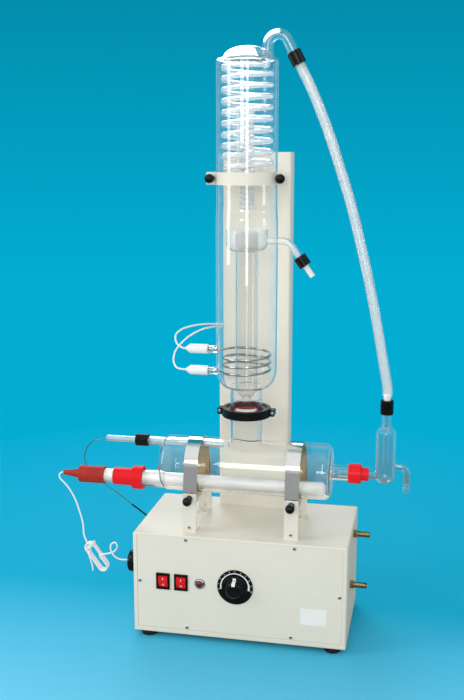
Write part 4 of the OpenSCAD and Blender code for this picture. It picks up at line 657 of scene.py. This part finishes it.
def polar(r, a, z):
    """A point round the column's axis, at an angle in degrees."""
    return at(STILL_X + r * math.cos(math.radians(a)), STILL_Y + r * math.sin(math.radians(a)), z)


def eased(q):
    """A step from 0 to 1 that starts and ends gently."""
    return q * q * (3 - 2 * q)


outer_line = [polar(LINK_R, LINK_A, LINK_Z), polar(LINK_R, LINK_A, LINK_Z - 5)]
for i in range(1, 9):
    q = i / 9
    height = LINK_Z - 5 - 8 * math.sin(math.pi * q) * (1 - q) + q * (COIL_LOW - LINK_Z + 5)
    outer_line.append(polar(LINK_R + (COIL_R - LINK_R) * eased(q), LINK_A + 80 * q * q + 20 * q, height))
outer_line += [
    polar(COIL_R, LINK_A + 100 + 15 * i, COIL_LOW + COIL_PITCH * i / 24) for i in range(24 * COIL_TURNS + 1)
]
for i in range(1, 8):
    q = i / 7
    outer_line.append(
        polar(COIL_R - (COIL_R - ARCH_X) * eased(q), LINK_A + 100 + 107 * (2 * q - q * q), COIL_TOP + q)
    )
for i in range(1, 5):
    turn = math.radians(22.5 * i)
    outer_line.append(
        at(STILL_X + ARCH_X, STILL_Y - 8 * (1 - math.sin(turn)), COIL_TOP + 1 + 8 * (1 - math.cos(turn)))
    )
outer_line.append(at(STILL_X + ARCH_X, STILL_Y, COIL_TOP + 16))
inner_line = [
    at(STILL_X, STILL_Y + CONDENSER_R + 16 - i * (CONDENSER_R + 16 - CORE_R - 6) / 5, CORE_LOW)
    for i in range(6)
]
inner_line.append(polar(CORE_R + 2, 100, CORE_LOW + 0.5))
inner_line += [
    polar(CORE_R, 90 + 24 * i, CORE_LOW + CORE_PITCH * i / 15) for i in range(2, 15 * CORE_TURNS + 1)
]
inner_line += [
    polar(CORE_R + (LINK_R - CORE_R) * i / 5, 90 + 10 * i, CORE_TOP + 6 * math.sin(math.pi / 2 * i / 5))
    for i in range(1, 6)
]
inner_line += [polar(LINK_R, LINK_A, z) for z in (CORE_TOP - 4, (CORE_TOP + LINK_Z) / 2, LINK_Z)]
spiral_line = [at(STILL_X - x, STILL_Y, SPIRAL_Z) for x in (VESSEL_R + 20, VESSEL_R + 8, SPIRAL_R + 8)]
spiral_line.append(polar(SPIRAL_R + 2.5, 183, SPIRAL_Z + 0.1))
spiral_line += [
    polar(SPIRAL_R, 180 + 15 * (i + 0.5), SPIRAL_Z + SPIRAL_PITCH * (i + 0.5) / 24)
    for i in range(24 * SPIRAL_TURNS)
]
spiral_line.append(polar(SPIRAL_R + 2.5, 177, SPIRAL_TOP - 0.1))
spiral_line += [at(STILL_X - x, STILL_Y, SPIRAL_TOP) for x in (SPIRAL_R + 8, VESSEL_R + 8, VESSEL_R + 20)]

for name, line, radius, wall, node, sides in (
    ("outer_coil_glass", outer_line, COIL_TUBE, COIL_WALL, "outer_coil", 16),
    ("inner_coil_glass", inner_line, CORE_TUBE, CORE_WALL, "inner_coil", 12),
):
    tube_piece(
        name, smooth_path(line, FINE), radius * MM, (radius - wall) * MM, coil_glass,
        "stand", (node,), sides,
    )
spiral_bm = bmesh.new()
swept(spiral_bm, smooth_path(spiral_line, FINE), SPIRAL_TUBE * MM, 14)
end_piece(spiral_bm, "spiral_heater_tube", element_metal, "stand", ("spiral_heater",))


# ---------------------------------------------------------------- CAD shapes in their finishes

ROUND_COPIES = (
    ("boiler", borosilicate, "borosilicate"),
    ("sensor_tube", wet_glass, "borosilicate"),
    ("level_vessel", borosilicate, "borosilicate"),
    ("column_jacket", borosilicate, "borosilicate"),
    ("riser_tube", borosilicate, "borosilicate"),
    ("collector_cup", wet_glass, "borosilicate"),
    ("heater_sheath", quartz_glass, "quartz"),
    ("heater_element", former_ceramic, "ceramic_former"),
    ("heater_cap", red_cap_plastic, "red_cap"),
    ("inlet_cap", red_cap_plastic, "red_cap"),
    ("heater_boot", brown_silicone, "brown_silicone"),
    ("sensor_cap", black_plastic, "black_plastic"),
    ("level_cap", black_plastic, "black_plastic"),
    ("product_cap", black_plastic, "black_plastic"),
    ("arch_cap", black_plastic, "black_plastic"),
    ("flange_clamp", black_plastic, "black_plastic"),
    ("strap_knob_left", black_plastic, "black_plastic"),
    ("strap_knob_right", black_plastic, "black_plastic"),
    ("band_knob_left", black_plastic, "black_plastic"),
    ("band_knob_right", black_plastic, "black_plastic"),
    ("regulator_knob", black_plastic, "black_plastic"),
    ("dial_plate", black_plastic, "black_plastic"),
    ("lead_bushing", black_plastic, "black_plastic"),
    ("mains_gland", black_plastic, "black_plastic"),
    ("lamp_lens", lens_plastic, "red_lens"),
    ("lamp_bezel", bright_steel, "bright_steel"),
    ("strap_studs", bright_steel, "bright_steel"),
    ("bracket_screws", bright_steel, "bright_steel"),
    ("clamp_screws", bright_steel, "bright_steel"),
    ("panel_screws", bright_steel, "bright_steel"),
    ("water_tails", old_brass, "brass"),
    ("bands", band_steel, "steel"),
    ("band_liners", amber_liner, "amber_silicone"),
    ("flange_gasket", red_gasket_rubber, "red_silicone"),
    ("terminal_boots", white_silicone, "white_silicone"),
    ("hose_nipple", white_plastic, "white_plastic"),
    ("product_nozzle", white_plastic, "white_plastic"),
    ("feet", black_rubber, "black_rubber"),
    ("grommets", black_rubber, "black_rubber"),
    ("sensor_bulb", bright_steel, "capillary_metal"),
    ("column_strap", cream_paint, "cream_paint"),
    ("column_bracket", cream_paint, "cream_paint"),
    ("cabinet_shell", cream_paint, "cream_paint"),
    ("back_plate", cream_paint, "cream_paint"),
)
for node, finish, slot in ROUND_COPIES:
    round_copy(node, node + "_shape", finish)

CAD_FINISHES = {
    "front_panel": cream_paint,
    "rear_panel": cream_paint,
    "saddles": cream_paint,
    "switch_bodies": black_plastic,
    "rocker_left": rocker_plastic,
    "rocker_right": rocker_plastic,
    "energy_regulator": grey_plastic,
    "flow_switch": grey_plastic,
    "thermostat": grey_plastic,
}
for node, finish in CAD_FINISHES.items():
    mesh = frame["nodes"][node].data
    mesh.materials.clear()
    mesh.materials.append(finish)


# ---------------------------------------------------------------- small marks and fastenings


def plate_block(bm, size, place):
    """Adds a small block, sized in millimetres, at a placement."""
    turned = place @ Matrix.Diagonal((size[0] * MM, size[1] * MM, size[2] * MM, 1.0))
    bmesh.ops.create_cube(bm, size=1.0, matrix=turned)


def strip_solid(bm, outline, place, depth):
    """Adds a flat outline, in millimetres on the x and y of a placement, and gives it a depth along its z."""
    verts = [bm.verts.new(place @ Vector((x * MM, y * MM, 0.0))) for x, y in outline]
    face = bm.faces.new(verts)
    grown = bmesh.ops.extrude_face_region(bm, geom=[face])["geom"]
    push = place.to_3x3() @ Vector((0.0, 0.0, depth * MM))
    bmesh.ops.translate(bm, vec=push, verts=[g for g in grown if isinstance(g, bmesh.types.BMVert)])


DIAL_X, LAMP_X, SWITCH_XS = 195.0, 128.0, (58.0, 92.5)
# The dial: its plate's face at the print and at the knob, and the arc, numbers and half sweep of its print
DIAL_FACE, DIAL_T, ARC_R, NUMBER_R, SWEEP = 2.0, 2.3, 27.9, 30.7, 100.0
# How far the arc's and the numbers' middles stand off that face, and the pointer's width
PRINT_RISE, NUMBER_RISE, POINTER_W = 0.08, 0.04, 6.4
# A rocker: its pivot's depth, its tilt at rest, the angle of its two halves, and how far out their ridge is
ROCKER_Y, ROCKER_TILT, ROCKER_BEND, ROCKER_FACE = 3.0, math.radians(8), math.radians(9), 6.4
# The bare label: its middle, its size and the radius of its corners
LABEL_X, LABEL_Z, LABEL_W, LABEL_H, LABEL_R = 340.0, 69.5, 48.0, 32.0, 1.5
# Turns +X to the right, +Y up and +Z out of the front
FACING = Matrix(((1, 0, 0), (0, 0, -1), (0, 1, 0))).to_4x4()


def front_place(x, y, z):
    """A placement on the front: +X to the right, +Y up, +Z out of the panel."""
    return Matrix.Translation(at(x, y, z)) @ FACING


def dial_arc():
    """The printed arc of the dial: thin at its top, thicker at its ends, thickest at full power."""
    bm = bmesh.new()
    place = front_place(DIAL_X, PANEL_Y - DIAL_FACE - PRINT_RISE, CONTROL_Z)
    steps = 60
    rows = []
    for k in range(steps + 1):
        q = k / steps
        a = math.radians(SWEEP * (2 * q - 1))
        width = 1.7 + 0.9 * (1 - 2 * q) ** 2 + (1.6 * (2 * q - 1) ** 2 if q > 0.5 else 0.0)
        rows.append([(r * math.sin(a), r * math.cos(a)) for r in (ARC_R - width, ARC_R)])
    outline = [row[1] for row in rows] + [row[0] for row in reversed(rows)]
    strip_solid(bm, outline, place, -2 * PRINT_RISE)
    end_piece(bm, "dial_arc_print", print_white)


def dial_numbers():
    """The numbers 0 to 10 round the dial, laid flat on its plate."""
    bm = bmesh.new()
    face = front_place(DIAL_X, PANEL_Y - DIAL_FACE - NUMBER_RISE, CONTROL_Z)
    for number in range(11):
        text = bpy.data.curves.new("number", "FONT")
        text.body = str(number)
        text.size = 4.2
        text.align_x = text.align_y = "CENTER"
        text.extrude = 0.1
        holder = bpy.data.objects.new("number", text)
        mesh = bpy.data.meshes.new_from_object(holder)
        a = math.radians(SWEEP * (number / 5 - 1))
        spot = Matrix.Translation(Vector((NUMBER_R * math.sin(a), NUMBER_R * math.cos(a), 0.0)) * MM)
        mesh.transform(face @ spot @ Matrix.Rotation(-a, 4, "Z") @ Matrix.Scale(MM, 4))
        bm.from_mesh(mesh)
        bpy.data.objects.remove(holder)
        bpy.data.meshes.remove(mesh)
        bpy.data.curves.remove(text)
    bmesh.ops.remove_doubles(bm, verts=bm.verts, dist=1e-7)
    end_piece(bm, "dial_numbers_print", print_white)


def knob_pointer():
    """The white pointer of the knob, which follows its grip, its side and its skirt."""
    bm = bmesh.new()
    side = (
        (9.2, 17.1), (12.7, 17.1), (14.75, 15.15), (15.7, 7.1), (15.75, 5.85), (20.2, 5.85), (20.2, 5.3),
        (15.0, 5.3), (14.9, 7.0), (14.0, 14.8), (12.4, 16.4), (9.2, 16.4),
    )
    turn = Matrix(((0, 0, 1), (0, -1, 0), (1, 0, 0))).to_4x4()
    place = Matrix.Translation(at(DIAL_X - POINTER_W / 2, PANEL_Y - DIAL_T, CONTROL_Z)) @ turn
    strip_solid(bm, side, place, POINTER_W)
    end_piece(bm, "knob_pointer_print", print_white, "regulator_knob_body", sharp=60.0)


def rocker_marks(x, body, name):
    """The on and off marks of a rocker, moulded on its two halves."""
    base = Matrix.Translation(at(x, ROCKER_Y, CONTROL_Z)) @ Matrix.Rotation(ROCKER_TILT, 4, "X")
    base = base @ Matrix.Translation((0.0, -ROCKER_FACE * MM, 0.0))
    upper = base @ Matrix.Rotation(-ROCKER_BEND, 4, "X")
    lower = base @ Matrix.Rotation(ROCKER_BEND, 4, "X")
    ring = lower @ Matrix.Translation((0.0, -0.06 * MM, -6.2 * MM)) @ FACING
    bm = spun(((1.5, -0.4), (2.2, -0.4), (2.2, 0.0), (1.5, 0.0), (1.5, -0.4)), ring, 32)
    plate_block(bm, (1.1, 0.6, 4.2), upper @ Matrix.Translation((0.0, 0.16 * MM, 6.0 * MM)))
    end_piece(bm, name, print_white, body)


def lamp_gasket():
    """A black ring round the lamp's bezel, where its outer rim shows dark."""
    profile = (
        (8.9, -0.5), (10.1, -0.5), (10.3, -0.1), (10.1, 0.5), (9.55, 0.8), (8.9, 0.8), (8.9, -0.5),
    )
    bm = spun(profile, front_place(LAMP_X, PANEL_Y, CONTROL_Z), 40)
    end_piece(bm, "lamp_black_rim", black_rubber)


def bare_label():
    """The white label plate at the front's lower right, left bare."""
    bm = bmesh.new()
    outline = []
    for quarter, (h, v) in enumerate(((1, 1), (-1, 1), (-1, -1), (1, -1))):
        for k in range(5):
            turn = math.radians(90 * quarter + 22.5 * k)
            outline.append((
                h * (LABEL_W / 2 - LABEL_R) + LABEL_R * math.cos(turn),
                v * (LABEL_H / 2 - LABEL_R) + LABEL_R * math.sin(turn),
            ))
    strip_solid(bm, outline, front_place(LABEL_X, PANEL_Y - 0.3, LABEL_Z), -0.35)
    end_piece(bm, "bare_label_plate", label_white)


def hank_tie():
    """The cord that ties the hank: a stub, two and a half turns round it, and a hanging tail."""
    line = through((-88.5, 40.5, 166.5), (-93.5, 40.0, 161.5), (-99.0, 39.5, 156.0))
    for i in range(37):
        turn = math.radians(25.0 * i - 90.0)
        line.append(at(*hank_place(-25.5 + 0.09 * i, 11.4 * math.cos(turn), 50.0 + 9.8 * math.sin(turn))))
    line += through((-100.5, 38.5, 140.0), (-97.5, 38.0, 127.0), (-94.5, 38.5, 115.0), (-94.0, 39.0, 106.0))
    bm = bmesh.new()
    swept(bm, smooth_path(line, 3), 1.35 * MM, 10)
    end_piece(bm, "hank_tie_cord", white_sleeving)


dial_arc()
dial_numbers()
bare_label()
knob_pointer()
for x, side in zip(SWITCH_XS, ("left", "right")):
    rocker_marks(x, "rocker_" + side + "_body", "rocker_" + side + "_marks")
lamp_gasket()
hank_tie()


# ---------------------------------------------------------------- studio


# The backdrop low down and high up, and the floor far from the camera and near it, as the camera sees them;
# the floor's paler part near the camera is painted light
BACKDROP_LOW, BACKDROP_HIGH = (0.0008, 0.415, 0.645), (0.0008, 0.27, 0.42)
FLOOR_FAR, FLOOR_NEAR = (0.0006, 0.41, 0.65), (0.2, 0.68, 0.95)
# The floor in glossy surfaces, and the pale blue that it sheds on the object
FLOOR_GLOSS, FLOOR_LIT = (0.1, 0.2, 0.23), (0.46, 0.6, 0.63)
# The room in front of the object, which only glossy and transmission rays see, low down and high up
ROOM_LOW, ROOM_HIGH = (0.07, 0.09, 0.095), (0.95, 0.97, 0.98)
# The world's own light on the surfaces
WORLD_LIGHT, WORLD_LEVEL = (0.86, 0.87, 0.87), 0.74
# The floor's radius in metres, and how far out it starts and ends to fade into the backdrop
FLOOR_R, FADE_START, FADE_END = 2.6, 0.5, 1.5


def view_rays(tree):
    """1 for camera, glossy and transmission rays, 0 for the rest."""
    path = tree.nodes.new("ShaderNodeLightPath")
    seen = math_node(tree, "MAXIMUM", path.outputs["Is Camera Ray"], path.outputs["Is Transmission Ray"])
    return math_node(tree, "MAXIMUM", seen, path.outputs["Is Glossy Ray"])


def studio_floor():
    """A blue studio floor with painted light, paler towards the camera, whose rim fades into the backdrop."""
    bm = bmesh.new()
    bmesh.ops.create_circle(bm, cap_ends=True, cap_tris=False, segments=96, radius=FLOOR_R)
    mesh = bpy.data.meshes.new("studio_floor")
    bm.to_mesh(mesh)
    bm.free()
    floor = bpy.data.objects.new("studio_floor", mesh)
    bpy.context.scene.collection.objects.link(floor)
    finish, tree, shader, vector = start_finish("studio_floor_paint")
    split = tree.nodes.new("ShaderNodeSeparateXYZ")
    tree.links.new(vector, split.inputs[0])
    # Painted light: the floor's colour grows paler towards the camera
    nearness = ranged(tree, split.outputs["Y"], 0.1, -0.55)
    shown = colour_mix(tree, nearness, FLOOR_FAR, FLOOR_NEAR)
    path = tree.nodes.new("ShaderNodeLightPath")
    duller = colour_mix(tree, path.outputs["Is Glossy Ray"], shown, FLOOR_GLOSS)
    tree.links.new(colour_mix(tree, view_rays(tree), FLOOR_LIT, duller), shader.inputs["Base Color"])
    shader.inputs["Roughness"].default_value = 0.8
    shader.inputs["Specular IOR Level"].default_value = 0.1
    reach = tree.nodes.new("ShaderNodeVectorMath")
    reach.operation = "LENGTH"
    tree.links.new(vector, reach.inputs[0])
    fade = ranged(tree, reach.outputs["Value"], FADE_START, FADE_END)
    clear = tree.nodes.new("ShaderNodeBsdfTransparent")
    mix = tree.nodes.new("ShaderNodeMixShader")
    tree.links.new(fade, mix.inputs[0])
    tree.links.new(shader.outputs[0], mix.inputs[1])
    tree.links.new(clear.outputs[0], mix.inputs[2])
    tree.links.new(mix.outputs[0], tree.nodes["Material Output"].inputs["Surface"])
    mesh.materials.append(finish)


def studio_world():
    """A blue backdrop behind, a pale room in front, and plain neutral light for the surfaces."""
    world = bpy.data.worlds.new("studio_world")
    bpy.context.scene.world = world
    world.use_nodes = True
    tree = world.node_tree
    background = tree.nodes["Background"]
    vector = tree.nodes.new("ShaderNodeTexCoord").outputs["Generated"]
    split = tree.nodes.new("ShaderNodeSeparateXYZ")
    tree.links.new(vector, split.inputs[0])
    height = ranged(tree, split.outputs["Z"], -0.12, 0.14)
    backdrop = colour_mix(tree, height, BACKDROP_LOW, BACKDROP_HIGH)
    path = tree.nodes.new("ShaderNodeLightPath")
    unseen = math_node(tree, "SUBTRACT", 1.0, path.outputs["Is Camera Ray"])
    ahead = math_node(tree, "MULTIPLY", ranged(tree, split.outputs["Y"], 0.3, -0.1), unseen)
    lift = ranged(tree, split.outputs["Z"], -0.35, 0.65)
    room = colour_mix(tree, ahead, backdrop, colour_mix(tree, lift, ROOM_LOW, ROOM_HIGH))
    seen = view_rays(tree)
    tree.links.new(colour_mix(tree, seen, WORLD_LIGHT, room), background.inputs["Color"])
    tree.links.new(ranged(tree, seen, 0.0, 1.0, WORLD_LEVEL, 1.0), background.inputs["Strength"])


def soft_box(name, spot, target, size, watts):
    """An area lamp at a spot, turned to a target."""
    data = bpy.data.lights.new(name, "AREA")
    data.shape = "RECTANGLE"
    data.size, data.size_y = size
    data.energy = watts
    lamp = bpy.data.objects.new(name, data)
    lamp.location = spot
    lamp.rotation_euler = (Vector(target) - Vector(spot)).to_track_quat("-Z", "Y").to_euler()
    bpy.context.scene.collection.objects.link(lamp)


studio_floor()
studio_world()
soft_box("front_box", (0.44, -2.35, 1.4), (0.0, 0.0, 0.7), (0.42, 2.2), 15.5)
soft_box("low_box", (-0.33, -2.3, 1.3), (0.0, 0.0, 0.4), (0.55, 0.5), 4.4)
soft_box("left_box", (-2.3, -1.25, 1.5), (0.0, 0.0, 0.6), (0.7, 2.3), 21.5)
soft_box("back_box", (-0.9, 2.2, 2.0), (0.0, 0.0, 0.7), (1.4, 1.0), 25.0)
